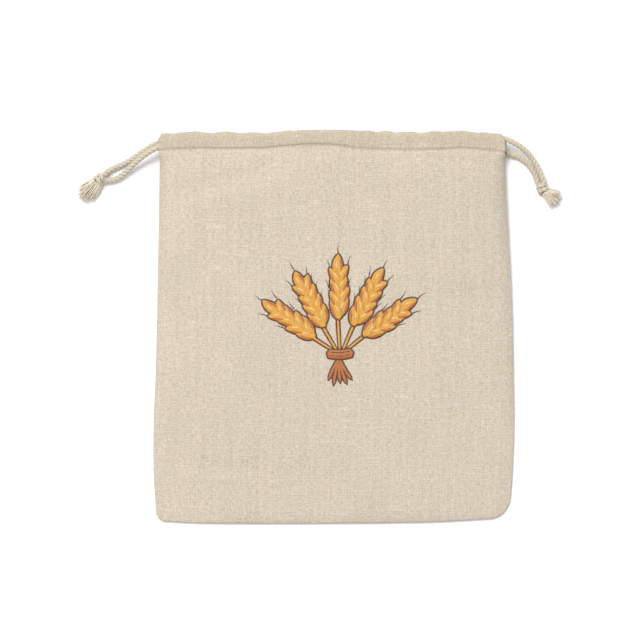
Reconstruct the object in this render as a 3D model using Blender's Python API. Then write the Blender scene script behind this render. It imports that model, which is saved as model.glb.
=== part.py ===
# Drawstring bread bag of coarse linen, lying flat: +X right, +Y towards the mouth, +Z up, the table at Z = 0.
import math

import bmesh
import bpy
from mathutils import Vector

MM = 0.001

# Cloth and casing, in millimetres. Both cords lie side by side in each casing, in two lanes.
CLOTH = 1.0
PLY_GAP = 0.4
CORD_DIAMETER = 3.8
CORD_RADIUS = CORD_DIAMETER / 2
CORD_GAP = 0.3
END_GAP = 0.4
WALL_REACH = CORD_RADIUS + CORD_GAP + CLOTH / 2
FIRST_LANE = 0.5 * CLOTH + WALL_REACH
SECOND_LANE = FIRST_LANE + CORD_DIAMETER + CORD_GAP
STITCH_DEPTH = 10.6
STITCH_DIP = 1.0
STITCH_DIP_KEPT = 0.3
DIP_START = 8.6
DIP_ROWS = (0.0, 0.5, 1.0, 1.5)
HEM_DEPTH = 13.6
BACK_CASING_DROP = 3.0
HEM_INSET = 3.6
HEM_ARC_STEPS = 3
FOLD_ARC_STEPS = 6

# Mouth: the gap between the two casings, at the side slits and in the middle.
MOUTH_HALF_WIDTH = 98.0
MOUTH_SIDE_GAP = 1.4
MOUTH_RISE = 4.6
MOUTH_POWER = 3.2
BACK_CHANNEL_HEIGHT = 0.5 * CLOTH + WALL_REACH

# Seam at the sides and the bottom, where the front's edge stands on the back's edge.
SEAM_GAP = 0.75
SEAM_STAND = CLOTH / 2 + SEAM_GAP
SIDE_ROLL = 13.0
BOTTOM_ROLL = 9.0
ROLL_STEPS = 5
ROLL_BUNCHING = 1.6
BACK_EDGE_RISE_WIDTH = 15.0
SLIT_TOP = 109.0
SLIT_END = 101.0
BACK_SLIT_TOP = 107.0
BAG_BOTTOM = -121.0
MOUTH_LEFT = -107.0
MOUTH_RIGHT = 106.0
LEFT_CORNER_RADIUS = 7.5
RIGHT_CORNER_RADIUS = 12.0

# Grid spacing of the panels.
FRONT_COLUMN_SPACING = 10.0
FRONT_ROW_SPACING = 9.5
BACK_COLUMN_SPACING = 13.0
BACK_ROW_SPACING = 20.0

# Cords.
RUN_POINT_SPACING = 10.0
RUN_LEFT_END = -101.7
RUN_RIGHT_END = 99.5
TURN_LEFT = -104.6
TURN_RIGHT = 102.0
TURN_REACH = 3.6
TURN_STEPS = 10
LEFT_TURN_BOW = 2.1
RUN_RADIUS = 1.7
ROPE_PITCH = 12.0
ROPE_POINT_SPACING = 1.25
ROPE_LOBES = 3
ROPE_LOBE_POINTS = 3
ROPE_GROOVE = 0.42

# Top edge of the front: x, y.
TOP_EDGE = (
    (-108.0, 119.5), (-93.0, 120.7), (-63.0, 120.1), (-41.0, 120.1), (-26.0, 121.2), (-18.0, 121.9),
    (4.0, 121.9), (19.0, 121.2), (34.0, 121.2), (49.0, 120.6), (64.0, 121.3), (78.0, 121.3),
    (93.0, 120.7), (101.0, 119.9), (106.0, 118.7),
)

# Bottom edge: x, y.
BOTTOM_EDGE = (
    (-112.0, -120.2), (-75.0, -121.2), (0.0, -121.4), (60.0, -120.9), (90.0, -119.8), (112.0, -118.9),
)

# Side edges and the height of the back's edge there: y, left x, right x, left height, right height.
SIDE_EDGE = (
    (-122.0, -110.2, 108.8, 0.5, 0.5),
    (-107.0, -110.8, 109.4, 0.5, 0.6),
    (-89.0, -111.7, 110.7, 0.5, 0.8),
    (-58.0, -111.2, 111.7, 0.6, 1.2),
    (-27.0, -109.9, 111.1, 0.8, 1.9),
    (4.0, -109.2, 110.5, 1.1, 2.9),
    (35.0, -108.6, 109.2, 1.6, 3.9),
    (66.0, -108.0, 107.4, 2.6, 4.7),
    (95.0, -107.6, 106.0, 4.6, 5.4),
    (109.0, -107.4, 105.4, 5.8, 5.8),
    (122.0, -107.3, 105.2, 5.8, 5.8),
)

# Height of the front's cloth below its casing: y, in the middle, beside the side seams.
FRONT_HEIGHT = (
    (-122.0, 4.0, 2.9),
    (-95.0, 5.2, 3.6),
    (-60.0, 7.2, 4.8),
    (-20.0, 9.7, 6.2),
    (20.0, 12.3, 8.2),
    (50.0, 14.2, 9.9),
    (80.0, 16.4, 11.8),
    (107.0, 18.1, 13.5),
    (122.0, 18.1, 13.5),
)

# Soft folds of the front: from x, y, to x, y, half width, height (a trough is below zero).
FRONT_FOLDS = (
    (-95.0, 84.0, -22.0, 106.0, 6.5, -1.1),
    (-92.0, 70.0, -35.0, 88.0, 7.0, 0.7),
    (-104.0, 104.0, -78.0, 100.0, 4.5, -0.8),
    (45.0, 101.0, 98.0, 98.0, 5.0, -0.7),
    (-98.0, 2.0, -60.0, 8.0, 6.0, -0.5),
    (66.0, 22.0, 104.0, 16.0, 7.0, -0.6),
    (52.0, -68.0, 100.0, -40.0, 8.0, -0.6),
    (-92.0, -84.0, -46.0, -90.0, 5.0, -0.6),
    (-10.0, 40.0, 60.0, 50.0, 9.0, -0.5),
)

FOLD_FADE = 0.1

# Puckers across the casings: x, half width, height.
CASING_PUCKERS = (
    (-88.0, 9.0, 0.5), (-69.0, 6.0, -0.5), (-48.0, 9.0, 0.4), (-16.0, 7.0, -0.5),
    (6.0, 9.0, 0.4), (36.0, 8.0, -0.4), (62.0, 9.0, 0.4), (88.0, 8.0, -0.3),
)

# Free cord ends, from the casing's slit to the knot: x, y, z, chosen by hand.
LEFT_UPPER_ROUTE = (
    (-104.6, 113.5, 3.2), (-108.2, 113.4, 3.2), (-111.4, 112.5, 3.0),
    (-115.0, 110.5, 2.7), (-120.6, 107.0, 2.3),
    (-126.9, 103.1, 2.1), (-133.4, 100.3, 2.2), (-138.4, 97.9, 2.8), (-142.0, 95.0, 3.7),
)
LEFT_LOWER_ROUTE = (
    (-104.6, 112.3, 11.0), (-107.8, 111.5, 11.0), (-111.2, 110.1, 10.7),
    (-114.9, 107.7, 9.8), (-119.2, 104.6, 8.4),
    (-123.8, 100.7, 6.4), (-128.4, 96.4, 4.3), (-132.6, 93.0, 2.9), (-136.6, 91.4, 2.9), (-140.5, 91.3, 3.7),
)
RIGHT_UPPER_ROUTE = (
    (102.4, 116.5, 11.0), (105.8, 115.8, 11.3), (108.6, 114.6, 11.3),
    (111.8, 113.0, 10.9), (115.4, 110.9, 10.0),
    (119.0, 108.0, 8.8), (122.4, 104.2, 7.5), (125.5, 99.2, 6.4), (128.0, 94.4, 5.7), (129.7, 89.8, 5.3),
)
RIGHT_LOWER_ROUTE = (
    (102.4, 109.3, 3.3), (105.6, 108.6, 3.3), (109.4, 107.6, 3.1), (114.6, 105.7, 2.7), (119.3, 102.2, 2.3),
    (122.6, 98.0, 2.1), (125.0, 93.4, 2.2), (126.7, 88.6, 2.8),
)

# Free ends: name, side, whether it leaves the front casing, lane, route.
FREE_ENDS = (
    ("left_cord_end_upper", "left", False, FIRST_LANE, LEFT_UPPER_ROUTE),
    ("left_cord_end_lower", "left", True, SECOND_LANE, LEFT_LOWER_ROUTE),
    ("right_cord_end_upper", "right", True, FIRST_LANE, RIGHT_UPPER_ROUTE),
    ("right_cord_end_lower", "right", False, SECOND_LANE, RIGHT_LOWER_ROUTE),
)

# Cord inside the casings: name, start x, turn x, bow of its turn, lane in the front, lane in the back.
CASING_RUNS = (
    ("left_cord_in_casing", RUN_LEFT_END, TURN_RIGHT, 0.0, SECOND_LANE, FIRST_LANE),
    ("right_cord_in_casing", RUN_RIGHT_END, TURN_LEFT, LEFT_TURN_BOW, FIRST_LANE, SECOND_LANE),
)

# Knots: centre x, y, z, half length, half width, half height, tuft heading in degrees from +X,
# distance to the strands' tips, tuft half width, tuft height, how early the tuft spreads.
KNOTS = {
    "left_knot": (-145.6, 91.7, 4.1, 4.6, 4.4, 4.0, 234.0, 15.6, 6.2, 8.4, 0.55),
    "right_knot": (129.8, 84.6, 4.0, 4.2, 4.0, 3.9, 322.0, 12.8, 6.0, 6.6, 1.0),
}
KNOT_CUTS = 5
KNOT_RIDGE = 0.45
KNOT_WRAPS = 2.2
STRAND_INSET = 0.07
STRAND_STEPS = 3
STRAND_TAPER = 0.99
STRAND_FLOOR = 0.5
STRAND_UNEVEN = 0.09
STRAND_RHYTHM = 2.4
STRAND_SECOND_RHYTHM = 5.1
TUFT_ROUNDING = 0.16
TUFT_FACING = 0.9

# Colours, linear.
LINEN = (0.665, 0.578, 0.462, 1.0)
COTTON_CORD = (0.702, 0.624, 0.504, 1.0)
CLOTH_ROUGHNESS = 0.92


def read_table(table, at, column):
    """Value of a column at a place, on a smooth curve through the table's rows."""
    rows = len(table)
    if at <= table[0][0]:
        return table[0][column]
    if at >= table[-1][0]:
        return table[-1][column]
    row = max(index for index in range(rows - 1) if table[index][0] <= at)

    def slope(index):
        before = max(index - 1, 0)
        after = min(index + 1, rows - 1)
        return (table[after][column] - table[before][column]) / (table[after][0] - table[before][0])

    start = table[row]
    end = table[row + 1]
    span = end[0] - start[0]
    part = (at - start[0]) / span
    square = part * part
    cube = square * part
    return (
        (2 * cube - 3 * square + 1) * start[column]
        + (cube - 2 * square + part) * span * slope(row)
        + (3 * square - 2 * cube) * end[column]
        + (cube - square) * span * slope(row + 1)
    )


def ease(part):
    """Smooth step from 0 to 1."""
    part = min(max(part, 0.0), 1.0)
    return part * part * (3 - 2 * part)


def half_width(y):
    """Half of the bag's width at a place along it."""
    return (read_table(SIDE_EDGE, y, 2) - read_table(SIDE_EDGE, y, 1)) / 2


def pucker(x):
    """Small puckers of the casings."""
    return sum(height * math.exp(-((x - place) / width) ** 2) for place, width, height in CASING_PUCKERS)


def mouth_gap(x):
    """Gap between the two casings, widest in the middle."""
    share = min(abs(x) / MOUTH_HALF_WIDTH, 1.0)
    return MOUTH_SIDE_GAP + (MOUTH_RISE + pucker(x)) * (1 - share ** MOUTH_POWER)


def front_channel_height(x):
    """Height of the middle of the front casing's channel."""
    return BACK_CHANNEL_HEIGHT + 2 * (WALL_REACH + CLOTH / 2) + mouth_gap(x)


def top_edge(x, front):
    """Top edge of a panel; the back's is a little lower."""
    edge = read_table(TOP_EDGE, x, 1)
    return edge if front else edge - BACK_CASING_DROP


def folds(x, y):
    """Soft folds of the front cloth."""
    total = 0.0
    for x_start, y_start, x_end, y_end, width, height in FRONT_FOLDS:
        along = Vector((x_end - x_start, y_end - y_start))
        offset = Vector((x - x_start, y - y_start))
        part = offset.dot(along) / along.length_squared
        nearest = min(max(part, 0.0), 1.0)
        beside = (offset - along * nearest).length
        fade = math.sin(math.pi * (FOLD_FADE + (1 - 2 * FOLD_FADE) * nearest))
        total += height * fade * math.exp(-(beside / width) ** 2)
    return total


def stitch_dip(depth, dip):
    """How far the outer ply dips at the stitch line."""
    reach = STITCH_DEPTH - DIP_START
    beyond = (depth - STITCH_DEPTH) / reach
    return dip * (1 - ease(abs(beyond)) + STITCH_DIP_KEPT * ease(beyond))


def casing_section(dip):
    """Casing rows from the hem's raw edge, round the top fold and down: depth, height, hem share."""
    outer = WALL_REACH
    hem_under = CLOTH + PLY_GAP
    rows = []
    for depth in (HEM_DEPTH, (HEM_DEPTH + STITCH_DEPTH) / 2, STITCH_DEPTH):
        rows.append((depth, outer - stitch_dip(depth, dip) - hem_under, 1.0))
    beside = STITCH_DEPTH - SECOND_LANE
    height = rows[-1][1]
    distance = math.hypot(beside, height)
    leave = math.atan2(height, -beside) + math.acos(WALL_REACH / distance)
    for step in range(HEM_ARC_STEPS + 1):
        angle = leave + (1.5 * math.pi - leave) * step / HEM_ARC_STEPS
        rows.append((SECOND_LANE - WALL_REACH * math.cos(angle), WALL_REACH * math.sin(angle), 1.0))
    rows.append(((FIRST_LANE + SECOND_LANE) / 2, -WALL_REACH, 1.0))
    for step in range(FOLD_ARC_STEPS + 1):
        angle = -math.pi / 2 + math.pi * step / FOLD_ARC_STEPS
        hem_share = 1 - step / FOLD_ARC_STEPS
        depth = FIRST_LANE - WALL_REACH * math.cos(angle)
        rows.append((depth, WALL_REACH * math.sin(angle), hem_share))
    rows.append((SECOND_LANE, outer, 0.0))
    for share in DIP_ROWS:
        depth = DIP_START + share * (STITCH_DEPTH - DIP_START)
        rows.append((depth, outer - stitch_dip(depth, dip), 0.0))
    rows.append((HEM_DEPTH, outer - stitch_dip(HEM_DEPTH, dip), 0.0))
    return rows


def round_corner(x, y, left, right, bottom):
    """Bring a point near a bottom corner inside its rounding."""
    for corner_x, inward, radius in ((left, 1, LEFT_CORNER_RADIUS), (right, -1, RIGHT_CORNER_RADIUS)):
        across = (corner_x + inward * radius - x) * inward / radius
        down = (bottom + radius - y) / radius
        if across > 0 and down > 0:
            shrink = max(across, down) / math.hypot(across, down)
            x = corner_x + inward * radius * (1 - across * shrink)
            y = bottom + radius * (1 - down * shrink)
    return x, y


def columns(spacing):
    """Columns across a panel: side, roll angle or share of the flat middle."""
    roll = [math.pi / 2 * (step / ROLL_STEPS) ** ROLL_BUNCHING for step in range(ROLL_STEPS)]
    middle_count = round(2 * (half_width(0) - SIDE_ROLL) / spacing)
    places = [("left", angle) for angle in roll]
    places += [("middle", step / middle_count) for step in range(middle_count + 1)]
    places += [("right", angle) for angle in reversed(roll)]
    return places


def column_place(column, left, right, inset):
    """x of a column, and how much of the plateau's height it has."""
    side, value = column
    if side == "middle":
        return left + SIDE_ROLL + value * (right - left - 2 * SIDE_ROLL), 1.0
    reach = inset + (SIDE_ROLL - inset) * (1 - math.cos(value))
    return (left + reach if side == "left" else right - reach), math.sin(value)


def body_rows(spacing, start):
    """Rows of a panel below its casing: y share of the flat stretch, then the bottom's roll angles."""
    count = round((start - BAG_BOTTOM - BOTTOM_ROLL) / spacing)
    rows = [("flat", step / count) for step in range(1, count + 1)]
    for step in range(ROLL_STEPS - 1, -1, -1):
        rows.append(("roll", math.pi / 2 * (step / ROLL_STEPS) ** ROLL_BUNCHING))
    return rows


def sheet_object(name, points, material):
    """Closed cloth sheet: a grid laid on rows of points, thickened both ways."""
    mesh = bpy.data.meshes.new(name)
    sheet = bmesh.new()
    row_count = len(points)
    column_count = len(points[0])
    bmesh.ops.create_grid(sheet, x_segments=column_count - 1, y_segments=row_count - 1, size=1)
    sheet.verts.ensure_lookup_table()
    places = [place for row in points for place in row]
    for vertex, place in zip(sheet.verts, places):
        vertex.co = Vector(place) * MM
    bmesh.ops.recalc_face_normals(sheet, faces=sheet.faces)
    sheet.to_mesh(mesh)
    sheet.free()
    mesh.shade_smooth()
    mesh.materials.append(material)
    piece = bpy.data.objects.new(name, mesh)
    bpy.context.scene.collection.objects.link(piece)
    solidify = piece.modifiers.new("cloth thickness", "SOLIDIFY")
    solidify.thickness = CLOTH * MM
    solidify.offset = 0.0
    solidify.use_even_offset = True
    solidify.use_rim = True
    return piece


def front_point(x, y, depth_height, roll_share, left, right):
    """Height of the front's cloth at a place, with its sides rolled down to the seam."""
    slit = 1 - ease((y - SLIT_END) / (SLIT_TOP - SLIT_END))
    across = (x - left) / (right - left)
    left_end = read_table(SIDE_EDGE, y, 3) + SEAM_STAND
    right_end = read_table(SIDE_EDGE, y, 4) + SEAM_STAND
    seam = left_end + (right_end - left_end) * across
    plateau = 1 - slit * (1 - roll_share)
    return seam + (depth_height - seam) * plateau


def front_plateau(x, y):
    """Height of the front's cloth away from its seams, below the casing."""
    middle = read_table(FRONT_HEIGHT, y, 1)
    side = read_table(FRONT_HEIGHT, y, 2)
    share = min(abs(x) / half_width(y), 1.0)
    return side + (middle - side) * (1 - share ** MOUTH_POWER) + folds(x, y)


def front_panel(material):
    """Front cloth with its hem turned in as a casing."""
    inset = CLOTH / 2
    across = columns(FRONT_COLUMN_SPACING)
    section = casing_section(STITCH_DIP)
    rows = []
    for depth, height, hem_share in section:
        row = []
        for column in across:
            guess_y = TOP_EDGE[0][1] - depth
            left = read_table(SIDE_EDGE, guess_y, 1)
            right = read_table(SIDE_EDGE, guess_y, 2)
            hem = HEM_INSET * hem_share
            x, roll_share = column_place(column, left + hem, right - hem, inset)
            y = top_edge(x, True) - depth
            raised = front_channel_height(x) + height
            if hem_share > 0 and column[0] != "middle":
                edge = min(x - left, right - x)
                roll_share = math.sqrt(max(1 - (1 - min(edge / SIDE_ROLL, 1.0)) ** 2, 0.0))
            z = front_point(x, y, raised, roll_share, left, right)
            row.append((x, y, z))
        rows.append(row)
    for kind, value in body_rows(FRONT_ROW_SPACING, TOP_EDGE[0][1] - HEM_DEPTH):
        row = []
        for column in across:
            flat = value if kind == "flat" else 1.0
            guess_x, _ = column_place(column, MOUTH_LEFT, MOUTH_RIGHT, inset)
            bottom = read_table(BOTTOM_EDGE, guess_x, 1)
            start = top_edge(guess_x, True) - HEM_DEPTH
            y = start + flat * (bottom + BOTTOM_ROLL - start)
            end_share = 1.0
            if kind == "roll":
                y = bottom + inset + (BOTTOM_ROLL - inset) * (1 - math.cos(value))
                end_share = math.sin(value)
            left = read_table(SIDE_EDGE, y, 1)
            right = read_table(SIDE_EDGE, y, 2)
            x, roll_share = column_place(column, left, right, inset)
            settle = ease((start - y) / (2 * FRONT_ROW_SPACING))
            casing_height = front_channel_height(x) + section[-1][1]
            plateau = casing_height + (front_plateau(x, y) - casing_height) * settle
            z = front_point(x, y, plateau, roll_share * end_share, left, right)
            x, y = round_corner(x, y, left + inset, right - inset, bottom + inset)
            row.append((x, y, z))
        rows.append(row)
    return sheet_object("front_panel", rows, material)


def back_point(x, y, height, left, right):
    """Height of the back's cloth: flat on the table, its edges raised to the side seams."""
    slit = 1 - ease((y - SLIT_END) / (BACK_SLIT_TOP - SLIT_END))
    rise = 0.0
    for edge, column in ((x - left, 3), (right - x, 4)):
        share = 1 - min(edge / BACK_EDGE_RISE_WIDTH, 1.0)
        rise += (read_table(SIDE_EDGE, y, column) - CLOTH / 2) * share * share
    return height + rise * slit


def back_panel(material):
    """Back cloth with its hem turned in as a casing."""
    across = columns(BACK_COLUMN_SPACING)
    rows = []
    for depth, height, hem_share in casing_section(0.0):
        row = []
        for column in across:
            guess_y = TOP_EDGE[0][1] - BACK_CASING_DROP - depth
            left = read_table(SIDE_EDGE, guess_y, 1)
            right = read_table(SIDE_EDGE, guess_y, 2)
            hem = HEM_INSET * hem_share
            x, _ = column_place(column, left + hem, right - hem, 0.0)
            y = top_edge(x, False) - depth
            row.append((x, y, back_point(x, y, BACK_CHANNEL_HEIGHT - height, left, right)))
        rows.append(row)
    for kind, value in body_rows(BACK_ROW_SPACING, TOP_EDGE[0][1] - BACK_CASING_DROP - HEM_DEPTH):
        row = []
        for column in across:
            flat = value if kind == "flat" else 1.0
            guess_x, _ = column_place(column, MOUTH_LEFT, MOUTH_RIGHT, 0.0)
            bottom = read_table(BOTTOM_EDGE, guess_x, 1)
            start = top_edge(guess_x, False) - HEM_DEPTH
            y = start + flat * (bottom + BOTTOM_ROLL - start)
            if kind == "roll":
                y = bottom + BOTTOM_ROLL * (1 - math.cos(value))
            left = read_table(SIDE_EDGE, y, 1)
            right = read_table(SIDE_EDGE, y, 2)
            x, _ = column_place(column, left, right, 0.0)
            z = back_point(x, y, CLOTH / 2, left, right)
            x, y = round_corner(x, y, left, right, bottom)
            row.append((x, y, z))
        rows.append(row)
    return sheet_object("back_panel", rows, material)


def smooth_route(route, spacing):
    """Points at an even spacing on a smooth curve through a route's own points."""
    lengths = [0.0]
    for start, end in zip(route, route[1:]):
        lengths.append(lengths[-1] + (Vector(end) - Vector(start)).length)
    table = [(length, *point) for length, point in zip(lengths, route)]
    count = max(round(lengths[-1] / spacing), 2)
    return [
        Vector(tuple(read_table(table, lengths[-1] * step / count, column) for column in (1, 2, 3)))
        for step in range(count + 1)
    ]


def cord_curve(name, points, material):
    """Curve object with one poly spline through the points, its ends capped."""
    curve = bpy.data.curves.new(name, "CURVE")
    curve.dimensions = "3D"
    curve.use_fill_caps = True
    curve.twist_mode = "MINIMUM"
    spline = curve.splines.new("POLY")
    spline.points.add(len(points) - 1)
    for spline_point, place in zip(spline.points, points):
        spline_point.co = (*(place * MM), 1.0)
    spline.use_smooth = True
    curve.materials.append(material)
    piece = bpy.data.objects.new(name, curve)
    bpy.context.scene.collection.objects.link(piece)
    return piece


def lane_point(x, front, lane):
    """Middle of a cord lane inside a casing."""
    height = front_channel_height(x) if front else BACK_CHANNEL_HEIGHT
    return Vector((x, top_edge(x, front) - lane, height))


def casing_run(name, start_x, turn_x, turn_bow, front_lane, back_lane, material):
    """Drawstring inside the casings: along the front, round the far side slit, and back along the back."""
    count = round(abs(turn_x - start_x) / RUN_POINT_SPACING)
    steps = [start_x + (turn_x - start_x) * step / count for step in range(count + 1)]
    points = [lane_point(x, True, front_lane) for x in steps]
    outward = math.copysign(TURN_REACH, turn_x)
    start = points[-1]
    end = lane_point(turn_x, False, back_lane)
    middle = (start + end) / 2
    for step in range(1, TURN_STEPS):
        angle = math.pi * step / TURN_STEPS
        place = middle + (start - middle) * math.cos(angle)
        points.append(place + Vector((outward * math.sin(angle), 0, -turn_bow * math.sin(2 * angle))))
    points += [lane_point(x, False, back_lane) for x in reversed(steps)]
    piece = cord_curve(name, points, material)
    piece.data.bevel_depth = RUN_RADIUS * MM
    piece.data.bevel_resolution = 2
    return piece


def rope_profile():
    """Cross-section of a twisted cord: round, with a groove between its plies."""
    count = ROPE_LOBES * ROPE_LOBE_POINTS
    profile = []
    for step in range(count):
        groove = ROPE_GROOVE if step % ROPE_LOBE_POINTS == 0 else 0.0
        angle = -2 * math.pi * step / count
        profile.append(Vector((math.cos(angle), math.sin(angle), 0)) * (CORD_RADIUS - groove))
    shape = bpy.data.curves.new("rope profile", "CURVE")
    spline = shape.splines.new("POLY")
    spline.points.add(count - 1)
    for spline_point, place in zip(spline.points, profile):
        spline_point.co = (*(place * MM), 1.0)
    spline.use_cyclic_u = True
    guide = bpy.data.objects.new("rope profile", shape)
    guide.hide_render = True
    guide.display_type = "WIRE"
    bpy.context.scene.collection.objects.link(guide)
    return guide


def free_end(name, start, route, profile, material):
    """Free end of a drawstring: a twisted cord from its lane to the knot."""
    points = smooth_route((tuple(start), *route), ROPE_POINT_SPACING)
    piece = cord_curve(name, points, material)
    piece.data.bevel_mode = "OBJECT"
    piece.data.bevel_object = profile
    length = 0.0
    previous = points[0]
    for spline_point, place in zip(piece.data.splines[0].points, points):
        length += (place - previous).length
        spline_point.tilt = 2 * math.pi * length / ROPE_PITCH
        previous = place
    return piece


def knot(name, sizes, material):
    """Overhand knot as a lump with wrapped ridges, and the frayed strands that leave it."""
    x, y, z, length, width, height, heading, tip_reach, spread, tuft_height, early = sizes
    mesh = bpy.data.meshes.new(name)
    lump = bmesh.new()
    bmesh.ops.create_cube(lump, size=2)
    bmesh.ops.subdivide_edges(lump, edges=lump.edges[:], cuts=KNOT_CUTS, use_grid_fill=True)
    lump.normal_update()
    roots = [(face, face.calc_center_median()) for face in lump.faces if face.normal.x > TUFT_FACING]
    forward = Vector((math.cos(math.radians(heading)), math.sin(math.radians(heading)), 0))
    side = Vector((-forward.y, forward.x, 0))
    upward = Vector((0, 0, 1))
    origin = Vector((x, y, z))
    for vertex in lump.verts:
        along, across, above = vertex.co.normalized()
        around = math.atan2(above, across)
        wrap = math.cos(KNOT_WRAPS * math.pi * along + around) * math.hypot(across, above)
        ridge = 1 + KNOT_RIDGE / width * wrap
        place = forward * along * length + (side * across * width + upward * above * height) * ridge
        vertex.co = origin + place
        vertex.co.z = max(vertex.co.z, 0.0)
    for index, (face, cell) in enumerate(roots):
        bmesh.ops.inset_individual(lump, faces=[face], thickness=STRAND_INSET, use_even_offset=False)
        root = face.calc_center_median()
        uneven = math.sin(STRAND_RHYTHM * index) + math.cos(STRAND_SECOND_RHYTHM * index)
        rounded = 1 - TUFT_ROUNDING * cell.y * cell.y
        tip = origin + forward * tip_reach * (1 + STRAND_UNEVEN * uneven) * rounded
        for step in range(1, STRAND_STEPS + 1):
            share = step / STRAND_STEPS
            middle = root + (tip - origin - forward * length) * share
            middle += side * (cell.y * spread - (root - origin).dot(side)) * share ** early
            level = STRAND_FLOOR + (cell.z + 1) / 2 * tuft_height
            middle.z = root.z + (level - root.z) * share ** early
            face = bmesh.ops.extrude_discrete_faces(lump, faces=[face])["faces"][0]
            shift = middle - face.calc_center_median()
            for vertex in face.verts:
                vertex.co = middle + (vertex.co + shift - middle) * STRAND_TAPER
    bmesh.ops.scale(lump, vec=(MM, MM, MM), verts=lump.verts[:])
    lump.to_mesh(mesh)
    lump.free()
    mesh.materials.append(material)
    piece = bpy.data.objects.new(name, mesh)
    bpy.context.scene.collection.objects.link(piece)
    return piece


def fabric(name, colour):
    """Matt cloth material."""
    material = bpy.data.materials.new(name)
    material.use_nodes = True
    shader = material.node_tree.nodes["Principled BSDF"]
    shader.inputs["Base Color"].default_value = colour
    shader.inputs["Roughness"].default_value = CLOTH_ROUGHNESS
    shader.inputs["Metallic"].default_value = 0.0
    return material


def clear_scene():
    """Remove what the scene holds."""
    for piece in list(bpy.data.objects):
        bpy.data.objects.remove(piece, do_unlink=True)


def main():
    clear_scene()
    linen = fabric("coarse linen", LINEN)
    cotton = fabric("cotton cord", COTTON_CORD)
    front_panel(linen)
    back_panel(linen)
    for name, start_x, turn_x, turn_bow, front_lane, back_lane in CASING_RUNS:
        casing_run(name, start_x, turn_x, turn_bow, front_lane, back_lane, cotton)
    profile = rope_profile()
    for name, side, front, lane, route in FREE_ENDS:
        start_x = RUN_LEFT_END - END_GAP if side == "left" else RUN_RIGHT_END + END_GAP
        free_end(name, lane_point(start_x, front, lane), route, profile, cotton)
    for name, sizes in KNOTS.items():
        knot(name, sizes, cotton)


main()
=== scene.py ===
# Looks of a flat drawstring bread bag of coarse linen: +X right, +Y towards the mouth, +Z up, the table at Z = 0.
# Shapes are worked out in millimetres and written to the meshes in metres.
import math

import bmesh
import bpy
from bpy.props import FloatProperty, FloatVectorProperty, IntProperty, PointerProperty
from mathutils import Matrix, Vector, noise
from mathutils.bvhtree import BVHTree
from mathutils.interpolate import poly_3d_calc


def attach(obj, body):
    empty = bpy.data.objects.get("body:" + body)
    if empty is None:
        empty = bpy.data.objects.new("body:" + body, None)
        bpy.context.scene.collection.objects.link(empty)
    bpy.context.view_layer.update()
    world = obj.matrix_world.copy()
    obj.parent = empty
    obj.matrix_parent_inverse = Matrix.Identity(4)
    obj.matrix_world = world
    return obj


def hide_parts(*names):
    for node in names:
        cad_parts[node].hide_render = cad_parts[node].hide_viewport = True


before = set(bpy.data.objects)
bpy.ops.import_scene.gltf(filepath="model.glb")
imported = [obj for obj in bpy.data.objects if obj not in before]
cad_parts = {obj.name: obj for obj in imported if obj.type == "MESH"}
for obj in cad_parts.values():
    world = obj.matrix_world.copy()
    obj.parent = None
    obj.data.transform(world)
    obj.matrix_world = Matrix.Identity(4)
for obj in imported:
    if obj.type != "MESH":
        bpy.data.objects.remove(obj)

bl_info = {
    "name": "Linen bread bag",
    "version": (1, 0, 0),
    "blender": (4, 5, 0),
    "location": "View3D > Sidebar > Bread bag",
    "description": "Builds the cloth, cords, knots, stitches and print of a flat drawstring bread bag",
    "category": "Add Mesh",
}

MM = 0.001
BODY = "root"

# Cloth and casing as in the solids. Both cords lie side by side in each casing, in two lanes.
CLOTH = 1.0
PLY_GAP = 0.4
CORD_DIAMETER = 3.8
CORD_RADIUS = CORD_DIAMETER / 2
CORD_GAP = 0.3
WALL_REACH = CORD_RADIUS + CORD_GAP + CLOTH / 2
FIRST_LANE = 0.5 * CLOTH + WALL_REACH
SECOND_LANE = FIRST_LANE + CORD_DIAMETER + CORD_GAP
STITCH_DEPTH = 10.6
STITCH_DIP = 1.4
STITCH_DIP_KEPT = 0.3
DIP_START = 8.9
HEM_DEPTH = 13.6
BACK_CASING_DROP = 3.0
HEM_INSET = 3.6
HEM_STEPS = 4
HEM_ARC_STEPS = 7
FOLD_ARC_STEPS = 14
DIP_STEPS = 9

# Mouth: the gap between the two casings, at the side slits and in the middle.
MOUTH_HALF_WIDTH = 98.0
MOUTH_SIDE_GAP = 1.4
MOUTH_RISE = 4.6
MOUTH_POWER = 3.2
BACK_CHANNEL_HEIGHT = 0.5 * CLOTH + WALL_REACH

# Seams, where the front's turned edge stands on the back's.
FRONT_SEAM_STAND = 1.85
SIDE_ROLL = 10.0
BOTTOM_ROLL = 9.0
BOTTOM_LIFT = 0.5
ROLL_STEPS = 11
ROLL_BUNCHING = 1.5
ROLL_START = 25.0
BACK_EDGE_RISE_WIDTH = 15.0
SLIT_TOP = 109.0
SLIT_END = 101.0
BACK_SLIT_TOP = 107.0
BAG_BOTTOM = -121.0
MOUTH_LEFT = -107.0
MOUTH_RIGHT = 106.0
LEFT_CORNER_RADIUS = 4.6
RIGHT_CORNER_RADIUS = 12.0
EDGE_TURN_RADIUS = 0.42
EDGE_TURN_STEPS = 6
EDGE_TUCK = 1.6
EDGE_BASE_STEPS = 5

# Grid spacing of the cloth.
COLUMN_SPACING = 1.7
ROW_SPACING = 1.7

# Cords.
RUN_LEFT_END = -101.7
RUN_RIGHT_END = 99.5
TURN_LEFT = -104.6
TURN_RIGHT = 102.0
TURN_REACH = 3.6
TURN_STEPS = 10
LEFT_TURN_BOW = 2.1
RUN_RADIUS = 1.7
RUN_POINT_SPACING = 10.0
RUN_RING_SPACING = 1.0
END_RING_SPACING = 0.5
END_OVERLAP = 1.6

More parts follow.
